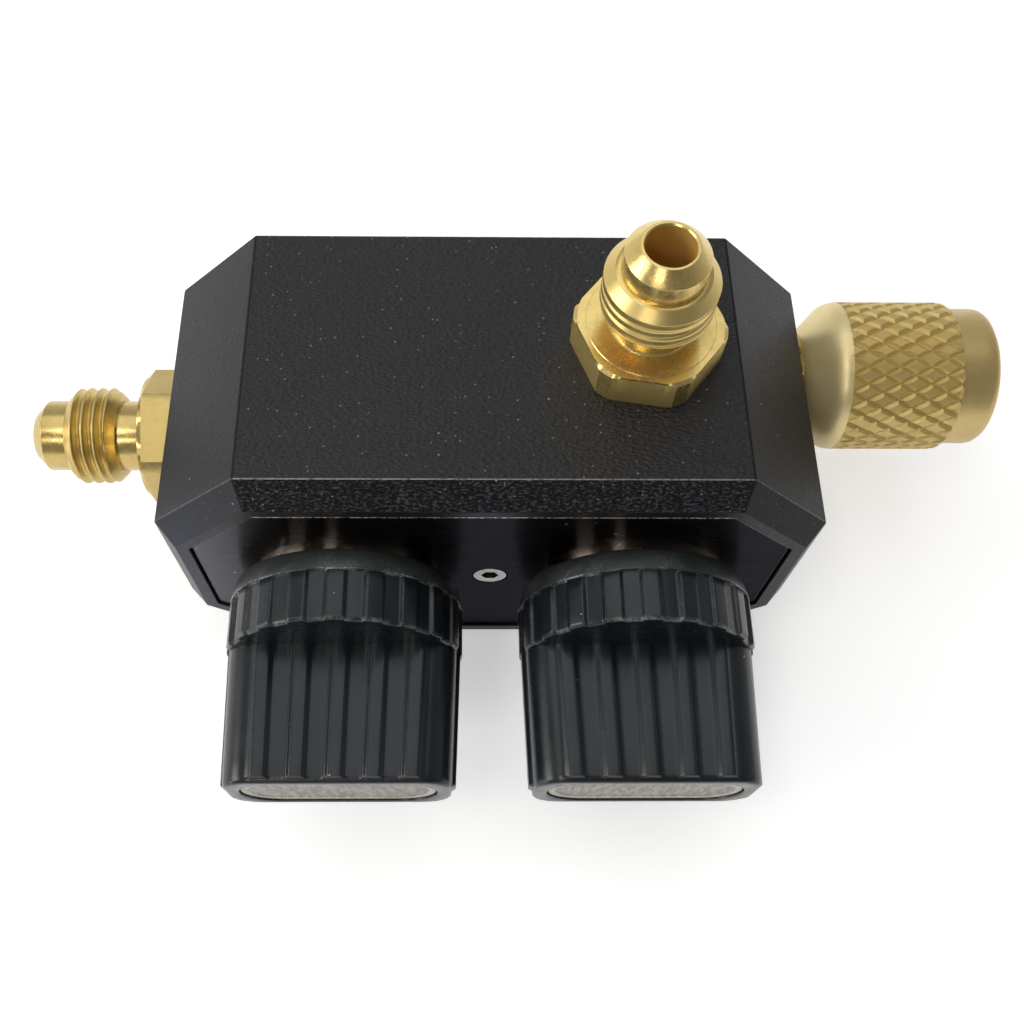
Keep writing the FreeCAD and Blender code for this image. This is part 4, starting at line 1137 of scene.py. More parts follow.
@dataclass
class FlareFitting:
    """A brass male flare fitting: hexagon, relief, thread, collar and cone."""

    name: str
    origin: tuple[float, float, float]
    rotation: Matrix
    axis: Axis
    hex_turn: float
    thread_length: float
    collar: float
    crest: float
    thread_depth: float
    brass: Color = (0.74, 0.56, 0.21)
    stain: Color = (0.62, 0.44, 0.14)
    plain_end: float = 0.0
    thread_round: float = 0.3
    phase: float = 0.0
    flat_parts: int = 16
    corner_parts: int = 6
    hex_flats: float = 14.0
    hex_corner: float = 7.7
    hex_height: float = 4.2
    hex_bevel: float = 0.45
    face_round: float = 6.45
    face_step: float = 0.06
    tail_radius: float = 4.85
    tail_length: float = 8.5
    bore: float = 2.4
    neck: float = 4.05
    neck_length: float = 3.1
    thread_radius: float = 5.555
    thread_bevel: float = 1.0
    lower_bevel: float = 1.0
    lip: float = 0.35
    mouth_bevel: float = 0.12
    tail_bevel: float = 0.7
    ring_step: float = 0.064

    def hexagon(self, turning: Turning) -> None:
        """Lay the hexagon with its milled flats and the cone that bevels its corners.

        Args:
            turning: The fitting, laid up to its hexagon.
        """
        plain, _, milled, _ = range(4)
        prism = flats_shape(self.hex_flats, self.hex_turn, self.hex_corner)
        column = np.mod(np.arange(len(turning.angles)), self.flat_parts + self.corner_parts)
        flats = np.where(column < self.flat_parts, milled, plain)
        outside = self.hex_corner + 0.02
        inner = self.hex_corner - self.hex_bevel * math.sqrt(3.0)

        def bevelled(spread: np.ndarray, along: float, radius: float) -> np.ndarray:
            """Give the radii of a ring of the hexagon, under its cone."""
            return np.minimum(prism(spread, along, radius), radius)

        turning.path([(0.0, self.tail_radius), (0.0, self.hex_corner - 0.15), (0.12, outside)],
                     plain, bevelled)
        turning.path([(self.hex_height - self.hex_bevel - 0.05, outside)], flats, bevelled)
        turning.path([(self.hex_height, inner)], plain, bevelled, step=0.07)

    def shape(self) -> bpy.types.Object:
        """Build the fitting.

        Returns:
            The fitting without its finishes.
        """
        half = math.degrees(math.acos(self.hex_flats / 2 / self.hex_corner))
        _, threaded, _, bored = range(4)
        top = self.hex_height
        face = top + self.face_step
        start = top + self.neck_length
        end = start + self.thread_length
        cone = end + self.collar
        mouth = cone + self.neck - self.bore - self.lip
        outer = self.thread_radius
        thread = Thread(start, end - self.plain_end, outer, self.thread_depth, crest=self.crest,
                        phase=self.phase)
        bevel = self.thread_bevel
        low = self.lower_bevel
        tail = -self.tail_length
        turning = Turning(hexagon_angles(self.hex_turn, half, self.flat_parts, self.corner_parts))
        turning.path([(mouth - self.mouth_bevel, self.bore), (tail, self.bore)], bored, step=0.8)
        turning.path([(tail, self.tail_radius - self.tail_bevel),
                      (tail + self.tail_bevel, self.tail_radius), (-0.02, self.tail_radius)])
        self.hexagon(turning)
        turning.path([(top, self.face_round + self.face_step), (face, self.face_round),
                      (face, self.neck, 0.35), (start + 0.01, self.neck), (start + 0.02, outer - low)])
        turning.path([(start + 0.03, outer - low), (start + low, outer, 0.3 * low),
                      (end - bevel, outer, self.thread_round), (end - 0.02, outer - bevel)],
                     threaded, thread.shape, self.ring_step, thread.mark)
        turning.path([(end, self.neck), (cone, self.neck, 0.12), (mouth, self.bore + self.lip, 0.1),
                      (mouth, self.bore + self.mouth_bevel), (mouth - self.mouth_bevel, self.bore)])
        turning.loop()
        return turning.skin.finish(self.name, axis_matrix(self.origin, self.rotation), (22.0, 50.0, 22.0))

    def build(self) -> None:
        """Build and dress the fitting."""
        piece = self.shape()
        node = self.name.replace("_turned", "")
        place = (self.axis, self.origin)
        tones = (self.brass, self.stain)
        plain = TurnedMetal(f"{node}_brass", *place, *tones)
        threaded = TurnedMetal(f"{node}_thread_brass", *place, *tones, roughness=0.32, ring_depth=0.0004)
        milled = TurnedMetal(f"{node}_milled_brass", *place, *tones, roughness=0.44, ring_depth=0.0,
                             grain_depth=0.006, staining=0.1)
        bored = TurnedMetal(f"{node}_bored_brass", *place, (0.76, 0.48, 0.13), (0.64, 0.37, 0.08),
                            roughness=0.32, ring_depth=0.020, metallic=0.40)
        dress(piece, plain.build(), threaded.build(), milled.build(), bored.build())
        seat(piece, "block", "fitting_brass", node)


class Side(Enum):
    """The two valves."""

    LEFT = "left"
    RIGHT = "right"


@dataclass
class Bonnet:
    """The brass bonnet that closes a valve chamber behind its knob."""

    side: Side
    x: float
    rim_y: float = -16.0
    z: float = 19.0
    flange: float = 10.0
    front: float = 1.2
    flange_round: float = 0.3
    seat_depth: float = 0.3
    thread: float = 7.95
    nose: float = 6.48
    nose_start: float = 10.4
    end: float = 10.9
    groove: float = 1.4
    bore: float = 3.05
    pin: float = 0.8
    pin_radius: float = 7.6
    pin_seat: float = 1.2

    def build(self) -> None:
        """Build and dress the bonnet."""
        deep = -self.nose_start
        groove = deep + self.groove
        root = self.thread - self.groove
        turning = Turning(even_angles(144))
        turning.path([(self.front, self.bore), (self.front, self.flange, self.flange_round),
                      (-self.seat_depth, self.flange), (-self.seat_depth, self.thread),
                      (-self.seat_depth - 0.01, self.thread), (deep + 2 * self.groove, self.thread),
                      (deep + 2 * self.groove, root), (groove, root), (groove, self.thread),
                      (deep, self.thread), (deep, self.nose), (-self.end, self.nose),
                      (-self.end, self.bore)])
        turning.loop()
        matrix = axis_matrix((self.x, self.rim_y, self.z), FORWARD)
        piece = turning.skin.finish(f"{self.side.value}_bonnet_turned", matrix, (35.0,))
        sign = math.copysign(1.0, self.x)
        hole = axis_matrix((self.x, self.rim_y, self.z + sign * self.pin_radius), FORWARD)
        steps = [(self.front + 1.0, self.pin), (self.front - self.pin_seat, self.pin)]
        tool = cutter("pin_hole", hole, steps, 24)
        carve(piece, [tool])
        settle(piece, (35.0,))
        centre = (self.x, self.rim_y, self.z)
        finish = TurnedMetal(f"{self.side.value}_bonnet_brass", Axis.Y, centre, (0.70, 0.60, 0.42),
                             (0.56, 0.44, 0.27), roughness=0.10, metallic=1.0)
        dress(piece, finish.build())
        seat(piece, "block", "bonnet_brass", f"{self.side.value}_bonnet")


class Part(Enum):
    """The eight stretches of a rounded rectangle, in the order that they are laid."""

    RIGHT = 0
    UPPER_RIGHT = 1
    TOP = 2
    UPPER_LEFT = 3
    LEFT = 4
    LOWER_LEFT = 5
    BOTTOM = 6
    LOWER_RIGHT = 7


@dataclass(frozen=True)
class Spot:
    """One point of a section: its stretch, its share along it, and the height of a rib there."""

    part: Part
    share: float
    rib: float


def section_point(spot: Spot, half_width: float, half_height: float,
                  radius: float) -> tuple[Vector, Vector]:
    """Place a point of a rounded rectangle.

    Args:
        spot: The point.
        half_width: Half the rectangle's width.
        half_height: Half its height.
        radius: The radius of its corners.

    Returns:
        The point and the outward direction there.
    """
    run = half_width - radius
    rise = half_height - radius
    quarter = spot.part.value // 2
    if spot.part.value % 2 == 0:
        out = Vector((math.cos(quarter * math.pi / 2), math.sin(quarter * math.pi / 2)))
        along = Vector((-out.y, out.x))
        reach = half_width if quarter % 2 == 0 else half_height
        length = rise if quarter % 2 == 0 else run
        return out * reach + along * (length * (2 * spot.share - 1)), out
    angle = (quarter + spot.share) * math.pi / 2
    out = Vector((math.cos(angle), math.sin(angle)))
    centre = Vector((run if quarter in (0, 3) else -run, rise if quarter in (0, 1) else -rise))
    return centre + out * radius, out


WALL_PARTS = 5


def rib_profile(offset: float, half: float, wall: float) -> float:
    """Give the height of a rib with sloped and rounded walls.

    Args:
        offset: How far from the rib's middle.
        half: Half its width.
        wall: The width of its walls.

    Returns:
        The height, 0 to 1.
    """
    reach = (half + wall / 2 - abs(offset)) / wall
    reach = min(max(reach, 0.0), 1.0)
    return reach * reach * (3 - 2 * reach)


def across_ribs(centres: Sequence[float], low: float, high: float, half: float,
                wall: float) -> list[float]:
    """Give the places where a run of ribs needs points, close together on their walls.

    Args:
        centres: The middles of the ribs.
        low: Where the run starts.
        high: Where it ends.
        half: Half the width of a rib.
        wall: The width of its walls.

    Returns:
        The places, in order.
    """
    places = {low, high}
    for centre in centres:
        places.add(centre)
        for side in (-1, 1):
            for k in range(WALL_PARTS + 1):
                places.add(centre + side * (half - wall / 2 + wall * k / WALL_PARTS))
            places.add(centre + side * (half - wall - 0.1))
            places.add(centre + side * (half + wall + 0.1))
    return sorted(place for place in places if low <= place <= high)


@dataclass
class PaddleKnob:
    """A moulded quarter-turn knob: smooth band, ribbed rim, ribbed paddle and its blank strip."""

    side: Side
    x: float
    back_y: float = -17.6
    z: float = 19.0
    rim: float = 12.1
    back: float = 12.0
    rib: float = 0.4
    rib_half: float = 0.95
    rib_wall: float = 0.34
    rim_ribs: int = 20
    rib_rings: int = 5
    skirt: float = 2.4
    rim_end: float = 7.75
    rim_edge: float = 0.42
    rim_edge_parts: int = 6
    rim_edge_wear_and_glint: float = 0.55
    end: float = 21.9
    edge: float = 0.4
    edge_parts: int = 4
    edge_wear_and_glint: float = 0.45
    corner_parts: int = 14
    strip_parts: int = 12
    root_half: float = 11.9
    end_half: float = 11.45
    half_thickness: float = 5.0
    corner: float = 3.2
    paddle_ribs: int = 5
    paddle_pitch: float = 3.95
    paddle_rings: int = 9
    paddle_rib_half: float = 0.85
    paddle_wall: float = 0.60
    side_rib_half: float = 1.1
    rib_stop: float = 0.45
    wear_and_glint_reach: float = 3.5
    hub: float = 5.2
    hollow: float = 10.4
    hollow_depth: float = 6.0
    label_half: float = 9.9
    label_half_width: float = 3.85
    label_recess: float = 1.2
    label_thickness: float = 1.0
    label_gap: float = 0.1
    socket_half: float = 2.15
    socket_end: float = 10.15
    web_end: float = 11.65
    screw_hole: float = 1.55
    screw_well: float = 3.05
    stop_pin: float = 0.8
    stop_rib: float = 0.7
    stop_gap: float = 0.3
    stop_radius: float = 7.6

    def matrix(self) -> Matrix:
        """Give the knob's place, the right one half a turn round."""
        spin = turn(180.0, "Y") if self.side is Side.RIGHT else Matrix.Identity(4)
        return axis_matrix((self.x, self.back_y, self.z), spin)

    def rim_skin(self) -> Skin:
        """Lay the band, the ribbed rim and the hollow behind.

        Returns:
            The skin.
        """
        pitch = 360.0 / self.rim_ribs
        reach = math.degrees(self.rib_half / self.rim)
        wall = math.degrees(self.rib_wall / self.rim)
        first = 90.0
        spread = across_ribs([0.0], -pitch / 2, pitch / 2, reach, wall)[:-1]
        angles = [first + k * pitch + place for k in range(self.rim_ribs) for place in spread]
        offsets = [(angle - first + pitch / 2) % pitch - pitch / 2 for angle in angles]
        ribs = np.array([rib_profile(offset, reach, wall) for offset in offsets])
        turned = np.radians(angles)
        count = len(turned)
        band = self.rim + self.rib
        skin = Skin()
        worn_and_glinting = ribs * (1.0 - ribs) * 4.0

        def lay(depth: float, radii: object, wear_and_glint: object = 0.0, tint: int = 0) -> None:
            """Lay one ring.

            Args:
                depth: How far in front of the knob's back.
                radii: Its radius, or one for each point.
                wear_and_glint: How scuffed its points are, and how much painted glint and highlight they
                    carry.
                tint: The finish up to it.
            """
            radii = np.broadcast_to(radii, count)
            ring = [radii * np.cos(turned), np.full(count, -depth), radii * np.sin(turned)]
            skin.ring(np.stack(ring, axis=-1), tint, wear_and_glint)

        deep = self.hollow_depth
        corners = [(0.0, self.hub, 0.0), (deep, self.hub, 0.3), (deep, self.hollow, 0.3),
                   (0.0, self.hollow, 0.15), (0.0, self.back, self.edge), (self.skirt, band, 0.08)]
        for depth, radius in rounded(corners)[:-1]:
            lay(depth, radius, 0.0, 1)
        lay(self.skirt - 0.10, band, 0.4, 1)
        lay(self.skirt, band - 0.02, 1.0)
        lay(self.skirt + 0.05, band - 0.05 - (self.rib - 0.05) * (1 - ribs) * 0.8, 1.0)
        lay(self.skirt + 0.12, band - 0.04 - (self.rib - 0.04) * (1 - ribs), 0.3)
        outer = self.rim + self.rib * ribs
        # The rib walls carry a little wear and painted glint.
        for depth in np.linspace(self.skirt + 0.2, self.rim_end - self.rim_edge - 0.05, self.rib_rings):
            lay(depth, outer, 0.15 * worn_and_glinting)
        # Painted glints and some wear: the rounded front edge of the rim is painted lighter, most in the
        # middle of the rounding.
        for k in range(1, self.rim_edge_parts + 1):
            angle = math.pi / 2 * k / self.rim_edge_parts
            depth = self.rim_end - self.rim_edge * (1 - math.sin(angle))
            inset = self.rim_edge * (1 - math.cos(angle))
            lay(depth, outer - inset, self.rim_edge_wear_and_glint * math.sin(2 * angle))
        lay(self.rim_end, self.rim - 1.2, 0.0)
        skin.caps()
        return skin

    def paddle_spots(self) -> list[Spot]:
        """Give the points of the paddle's section, with its ribs.

        Returns:
            The points, in order round the section.
        """
        run = self.root_half - self.corner
        rise = self.half_thickness - self.corner
        centres = [(k - self.paddle_ribs // 2) * self.paddle_pitch for k in range(self.paddle_ribs)]
        half, wall = self.paddle_rib_half, self.paddle_wall
        spots: list[Spot] = []
        for part in Part:
            if part in (Part.RIGHT, Part.LEFT):
                for place in across_ribs([0.0], -rise, rise, self.side_rib_half, wall)[:-1]:
                    height = rib_profile(place, self.side_rib_half, wall)
                    spots.append(Spot(part, (place + rise) / (2 * rise), height))
            elif part in (Part.TOP, Part.BOTTOM):
                sign = -1 if part is Part.TOP else 1
                places = across_ribs(centres, -run, run, half, wall)
                places = places[:0:-1] if part is Part.TOP else places[:-1]
                for place in places:
                    height = max(rib_profile(place - centre, half, wall) for centre in centres)
                    spots.append(Spot(part, (sign * place + run) / (2 * run), height))
            else:
                for k in range(self.corner_parts):
                    spot = Spot(part, k / self.corner_parts, 0.0)
                    point, _ = section_point(spot, self.root_half, self.half_thickness, self.corner)
                    height = max(rib_profile(point.x - centre, half, wall) for centre in centres)
                    spots.append(Spot(part, spot.share, height))
        return spots

    def paddle_skin(self) -> Skin:
        """Lay the paddle, from inside the rim to its end face and the seat of its strip.

        Returns:
            The skin.
        """
        spots = self.paddle_spots()
        ribs = np.array([spot.rib for spot in spots])
        worn_and_glinting = ribs * (1.0 - ribs) * 4.0
        skin = Skin()

        def lay(depth: float, inset: float, rib: float, wear_and_glint: object = 0.0) -> None:
            """Lay one ring of the paddle's own section.

            Args:
                depth: How far in front of the knob's back.
                inset: How far the section is set in.
                rib: How much of the ribs' height it has.
                wear_and_glint: How scuffed its points are, and how much painted glint and highlight they
                    carry.
            """
            share = (depth - self.rim_end) / (self.end - self.rim_end)
            half = self.root_half + (self.end_half - self.root_half) * share
            ring = []
            for spot in spots:
                point, out = section_point(spot, half, self.half_thickness, self.corner)
                point = point + out * (self.rib * spot.rib * rib - inset)
                ring.append((point.x, -depth, point.y))
            skin.ring(ring, 0, wear_and_glint)

        def lay_slot(depth: float, gap: float) -> None:
            """Lay one ring of the strip's seat.

            Args:
                depth: How far in front of the knob's back.
                gap: How much wider than the strip it is.
            """
            half, height = self.label_half + gap, self.label_half_width + gap
            ring = []
            for spot in spots:
                point, _ = section_point(spot, half, height, height)
                ring.append((point.x, -depth, point.y))
            skin.ring(ring)

        lay(self.rim_end - 0.9, 0.0, 1.0)
        stop = self.end - self.rib_stop
        # The rib walls carry wear and painted glints, more towards the end; the rib tops are painted
        # lighter as a painted highlight.
        for depth in np.linspace(self.rim_end, stop - 0.3, self.paddle_rings):
            near = max(0.0, 1.0 - (stop - depth) / self.wear_and_glint_reach)
            lay(depth, 0.0, 1.0, (0.08 + 1.2 * near) * worn_and_glinting + (0.07 + 0.22 * near) * ribs)
        # The rib ends and the end edge carry wear and painted glints.
        lay(stop - 0.12, 0.02, 1.0, 0.9 * ribs)
        lay(stop, 0.05, 0.55, 1.0 * ribs)
        lay(stop + 0.05, 0.06, 0.0, 0.3)
        for k in range(1, self.edge_parts + 1):
            angle = math.pi / 2 * k / self.edge_parts
            depth = self.end - self.edge * (1 - math.sin(angle))
            lay(depth, 0.06 + self.edge * (1 - math.cos(angle)), 0.0, self.edge_wear_and_glint)
        lay_slot(self.end, self.label_gap + 0.15)
        lay_slot(self.end - 0.06, self.label_gap + 0.03)
        lay_slot(self.end - 0.2, self.label_gap)
        lay_slot(self.end - self.label_recess, self.label_gap)
        skin.caps()
        return skin

    def bar_tool(self, name: str, corners: Sequence[Pair], start: float, end: float,
                 spin: float = 0.0) -> bpy.types.Object:
        """Make a straight bar along the knob's axis.

        Args:
            name: The bar's name.
            corners: Its section, across and up.
            start: Where it starts behind the knob's end.
            end: Where it ends.
            spin: How far it is turned about the axis, in degrees.

        Returns:
            The bar.
        """
        skin = Skin()
        for depth in (start, end):
            skin.ring([(x, -depth, z) for x, z in corners])
        skin.caps()
        return skin.finish(name, self.matrix() @ turn(-spin, "Y"))

    def body(self) -> bpy.types.Object:
        """Weld the rim, paddle and stop ribs, and cut the socket and the screw well.

        Returns:
            The knob without its finishes.
        """
        piece = self.rim_skin().finish(f"{self.side.value}_knob_moulded", self.matrix(), mark="wear_and_glint")
        paddle = self.paddle_skin().finish("paddle", self.matrix(), mark="wear_and_glint")
        reach = self.stop_pin + self.stop_rib + self.stop_gap
        swing = math.degrees(math.asin(reach / self.stop_radius))
        inside, outside = self.hub - 0.3, self.hollow + 0.3
        rib = [(inside, -self.stop_rib), (outside, -self.stop_rib), (outside, self.stop_rib),
               (inside, self.stop_rib)]
        stops = [self.bar_tool("stop", rib, 0.02, self.hollow_depth + 0.3, spin)
                 for spin in (-90.0 - swing, swing, 135.0)]
        carve(piece, [paddle, *stops], Change.WELD)
        half = self.socket_half
        square = [(-half, -half), (half, -half), (half, half), (-half, half)]
        tools = [self.bar_tool("socket", square, -1.0, self.socket_end)]
        holes = (("hole", self.screw_hole, self.socket_end - 0.5, self.web_end + 0.5),
                 ("well", self.screw_well, self.web_end, self.end))
        for name, radius, start, end in holes:
            ring = [(radius * math.cos(a), radius * math.sin(a)) for a in np.radians(even_angles(48))]
            tools.append(self.bar_tool(name, ring, start, end))
        carve(piece, tools)
        settle(piece, (38.0,))
        return piece

    def strip(self) -> bpy.types.Object:
        """Build the blank strip: a raised border round a plain field.

        Returns:
            The strip without its finishes.
        """
        spots = [Spot(part, k / self.strip_parts, 0.0) for part in Part
                 if part not in (Part.RIGHT, Part.LEFT) for k in range(self.strip_parts)]
        front = self.end - self.label_recess + self.label_thickness
        back = front - self.label_thickness
        skin = Skin()
        for depth, inset, tint in ((back, 0.0, 0), (front - 0.12, 0.0, 0), (front - 0.03, 0.04, 0),
                                   (front, 0.14, 0), (front, 0.62, 0), (front - 0.08, 0.72, 0),
                                   (front - 0.08, 1.4, 1)):
            half, height = self.label_half - inset, self.label_half_width - inset
            points = [section_point(spot, half, height, height)[0] for spot in spots]
            skin.ring([(point.x, -depth, point.y) for point in points], tint)
        skin.cap(skin.first)
        skin.cap(skin.last, 1)
        return skin.finish(f"{self.side.value}_strip_blank", self.matrix(), (40.0,))

    def build(self, plastic: bpy.types.Material, band: bpy.types.Material, border: bpy.types.Material,
              middle: bpy.types.Material) -> None:
        """Build and dress the knob and its strip.

        Args:
            plastic: The knob's finish.
            band: The finish of its smooth band.
            border: The finish of the strip's border.
            middle: The finish of the strip's field.
        """
        body = f"{self.side.value}_valve"
        knob = self.body()
        dress(knob, plastic, band)
        seat(knob, body, "knob_black", f"{self.side.value}_knob")
        strip = self.strip()
        dress(strip, border, middle)
        seat(strip, body, "label_grey", f"{self.side.value}_label_strip")


@dataclass
class SwivelNut:
    """The knurled swivel nut and the stub that carries it."""

    origin: tuple[float, float, float]
    back: float = 2.0
    back_radius: float = 5.2
    cone: float = 3.4
    band: float = 1.1
    grip: float = 8.82
    knurl: float = 12.9
    collar: float = 8.1
    end_round: float = 1.2
    cone_round: float = 2.5
    length: float = 22.0
    hole: float = 4.18
    web: float = 5.6
    hollow: float = 5.35
    thread: float = 5.555
    thread_length: float = 10.8
    inner_depth: float = 0.6
    around: int = 28
    diamond: float = 3.62
    groove_half: float = 0.23
    groove_depth: float = 0.36
    run_out: float = 0.8
    stub_bore: float = 2.4
    tail: float = 4.0
    tail_length: float = 8.5
    tail_bevel: float = 0.7
    flange: float = 4.9
    flange_height: float = 1.0
    neck: float = 4.1
    head: float = 4.85
    head_height: float = 3.5
    head_gap: float = 0.3
    mouth: float = 2.9
    key_flats: float = 4.8
    key_length: float = 6.0

    def envelope(self, along: float) -> float:
        """Give the radius that the knurl keeps under, rounded towards the collar.

        Args:
            along: The place along the axis.

        Returns:
            The radius.
        """
        end = self.back + self.cone + self.band + self.knurl
        left = end - along
        if left >= self.run_out:
            return self.grip
        drop = self.run_out - math.sqrt(max(self.run_out ** 2 - (self.run_out - left) ** 2, 0.0))
        return self.grip - 0.75 * drop

    def cut(self, across: float) -> float:
        """Give the depth of a groove at some way from its middle."""
        return self.groove_depth * max(0.0, 1 - abs(across) / self.groove_half) ** 0.8

    def spread(self, across: float, along: float) -> float:
        """Narrow a groove towards its crossings."""
        narrow = 0.5 + 0.5 * math.sin(math.pi * abs(along))
        return across if abs(across) > self.groove_half else across * narrow

    def lattice(self, start: float) -> bmesh.types.BMesh:
        """Lay the crossed grooves, a little past both ends of the knurl.

        Args:
            start: Where the knurl starts on the axis.

        Returns:
            The open mesh.
        """
        half = self.groove_half
        samples = [-half, -0.66 * half, -0.33 * half, 0.0, 0.33 * half, 0.66 * half, half, 0.3, 0.5, 0.7]
        per_cell = len(samples)
        span = self.around * per_cell
        mesh = bmesh.new()
        found: dict[tuple[int, int], bmesh.types.BMVert] = {}

        def corner(i: int, j: int) -> bmesh.types.BMVert:
            """Find or lay the point where two lines of the lattice cross.

            Args:
                i: The number of one line.
                j: The number of the other.

            Returns:
                The point.
            """
            turns = i // span
            key = (i - turns * span, j - turns * span)
            if key not in found:
                i, j = key
                first, second = samples[i % per_cell], samples[j % per_cell]
                u = i // per_cell + self.spread(first, second)
                v = j // per_cell + self.spread(second, first)
                angle = (u + v) / 2 * 2 * math.pi / self.around
                along = start - self.diamond / 2 + (u - v) / 2 * self.diamond
                radius = self.envelope(along) - max(self.cut(first), self.cut(second))
                found[key] = mesh.verts.new((radius * math.cos(angle), radius * math.sin(angle), along))
            return found[key]

        rows = math.ceil(self.knurl / self.diamond) + 2
        reach = 2 * rows * per_cell
        for i in range(span):
            for j in range(i - reach, i + 1):
                mesh.faces.new([corner(i, j), corner(i + 1, j), corner(i + 1, j + 1), corner(i, j + 1)])
        return mesh

    def sleeve(self) -> bpy.types.Object:
        """Build the knurl as a sleeve: crossed grooves that leave flat-topped diamonds.

        Returns:
            The sleeve, which the nut is welded to.
        """
        start = self.back + self.cone + self.band
        end = start + self.knurl
        mesh = self.lattice(start)
        for place, way in ((start, -1.0), (end, 1.0)):
            geometry = mesh.verts[:] + mesh.edges[:] + mesh.faces[:]
            bmesh.ops.bisect_plane(mesh, geom=geometry, plane_co=(0, 0, place), plane_no=(0, 0, way),
                                   clear_outer=True, dist=1e-5)
        loops = []
        for place in (start, end):
            rim = [edge for edge in mesh.edges if edge.is_boundary
                   and all(abs(vert.co.z - place) < 1e-3 for vert in edge.verts)]
            grown = bmesh.ops.extrude_edge_only(mesh, edges=rim)["geom"]
            inner = {item for item in grown if isinstance(item, bmesh.types.BMVert)}
            for vert in inner:
                vert.co.xy *= (self.collar - 0.6) / vert.co.xy.length
            loops += [edge for edge in mesh.edges if edge.is_boundary and edge.verts[0] in inner]
        bmesh.ops.bridge_loops(mesh, edges=loops)
        data = bpy.data.meshes.new("knurl")
        mesh.to_mesh(data)
        mesh.free()
        data.polygons.foreach_set("material_index", [1] * len(data.polygons))
        data.transform(axis_matrix(self.origin, TO_RIGHT))
        return placed("knurl", data)

    def nut(self) -> bpy.types.Object:
        """Build the nut: cone painted lighter as a painted sheen, band, knurl, collar and inner thread.

        Returns:
            The nut without its finishes.
        """
        plain, _, threaded, painted_sheen_cone = range(4)
        band = self.back + self.cone
        knurl = band + self.band
        collar = knurl + self.knurl
        front = self.back + self.length
        web = self.back + self.web
        deep = self.inner_depth
        crest = self.thread - deep
        end = front - self.thread_length
        thread = Thread(end, front, crest, deep, crest=1.0, fade=0.5, inner=True)
        turning = Turning(even_angles(160))
        turning.path([(self.back, self.hole), (self.back, self.back_radius, 0.3),
                      (band, self.grip, self.cone_round), (knurl + 0.02, self.grip - 0.02)],
                     painted_sheen_cone, step=0.9)
        turning.path([(knurl + 0.03, self.collar - 0.1), (collar, self.collar - 0.1)], plain)
        turning.path([(collar + 0.01, self.collar), (front, self.collar, self.end_round),
                      (front, self.thread + deep), (front - deep, crest + 0.05)], plain, step=0.9)
        turning.path([(front - (deep + 0.05), crest), (end + 0.05, crest)], threaded,
                     thread.shape, 0.1, thread.mark)
        turning.path([(end, self.hollow), (web, self.hollow), (web, self.hole)], plain)
        turning.loop()
        matrix = axis_matrix(self.origin, TO_RIGHT)
        piece = turning.skin.finish("swivel_nut_turned", matrix, (30.0, 30.0, 60.0))
        sleeve = self.sleeve()
        for _ in piece.data.materials:
            sleeve.data.materials.append(None)
        carve(piece, [sleeve], Change.WELD)
        settle(piece, (30.0, 24.0, 60.0))
        return piece

    def stub(self) -> bpy.types.Object:
        """Build the stub with its key way.

        Returns:
            The stub without its finish.
        """
        bore = self.stub_bore
        end = -self.tail_length
        flange = self.flange_height
        head = self.back + self.web + self.head_gap
        front = head + self.head_height
        turning = Turning(even_angles(120))
        turning.path([(front - self.key_length, bore), (end, bore), (end, self.tail - self.tail_bevel),
                      (end + self.tail_bevel, self.tail), (0.0, self.tail), (0.0, self.flange, 0.1),
                      (flange, self.flange, 0.2), (flange, self.neck), (head, self.neck),
                      (head, self.head, 0.1), (front, self.head, 0.2), (front, self.mouth)])
        key = flats_shape(self.key_flats, 0.0)
        turning.path([(front, bore), (front - self.key_length + 0.01, bore)], 0, key)
        turning.loop()
        return turning.skin.finish("swivel_stub_turned", axis_matrix(self.origin, TO_RIGHT), (30.0,))

    def build(self) -> None:
        """Build and dress the nut and its stub."""
        place = (Axis.X, self.origin)
        satin = TurnedMetal("nut_brass", *place, (0.64, 0.48, 0.20), (0.54, 0.39, 0.15), roughness=0.38,
                            grain_depth=0.004, metallic=0.70)
        knurled = TurnedMetal("nut_knurl_brass", *place, (0.64, 0.48, 0.19), (0.56, 0.40, 0.15),
                              roughness=0.42, ring_depth=0.0, grain_depth=0.004, metallic=0.55)
        # Painted sheen: the cone is the nut's brass painted lighter, standing for its bright highlight.
        painted_sheen_cone = TurnedMetal("nut_cone_brass", *place, (0.86, 0.70, 0.36), (0.76, 0.59, 0.27),
                               roughness=0.38, metallic=0.55)
        inner = TurnedMetal("nut_thread_brass", *place, (0.62, 0.45, 0.18))
        nut = self.nut()
        dress(nut, satin.build(), knurled.build(), inner.build(), painted_sheen_cone.build())
        seat(nut, "swivel", "nut_brass", "swivel_nut")
        stub = self.stub()
        dress(stub, TurnedMetal("stub_brass", *place).build())
        seat(stub, "block", "nut_brass", "swivel_stub")


@dataclass
class InnerPieces:
    """The seals, stems and screws inside, which keep their own shapes."""

    finishes: dict[str, PlainFinish] = field(default_factory=lambda: {
        "steel": PlainFinish("inner_steel", (0.60, 0.60, 0.59), 0.28, 1.0, 0.002),
        "packing_white": PlainFinish("packing", (0.82, 0.81, 0.77), 0.42),
        "ring_rubber": PlainFinish("seal_rubber", (0.020, 0.020, 0.021), 0.55, 0.0, 0.006),
        "gasket_rubber": PlainFinish("gasket_rubber", (0.035, 0.034, 0.033), 0.62, 0.0, 0.008),
    })

    def build(self) -> None:
        """Dress each inner piece by the material slot that the record gives it."""
        made = {slot: finish.build() for slot, finish in self.finishes.items()}
        slots = {row["node"]: row["material_slot"] for row in frame["record"]["subparts"]}
        for node, piece in frame["nodes"].items():
            if not piece.hide_render:
                dress(piece, made[slots[node]])
                log.info("%s keeps its shape, in %s", node, slots[node])


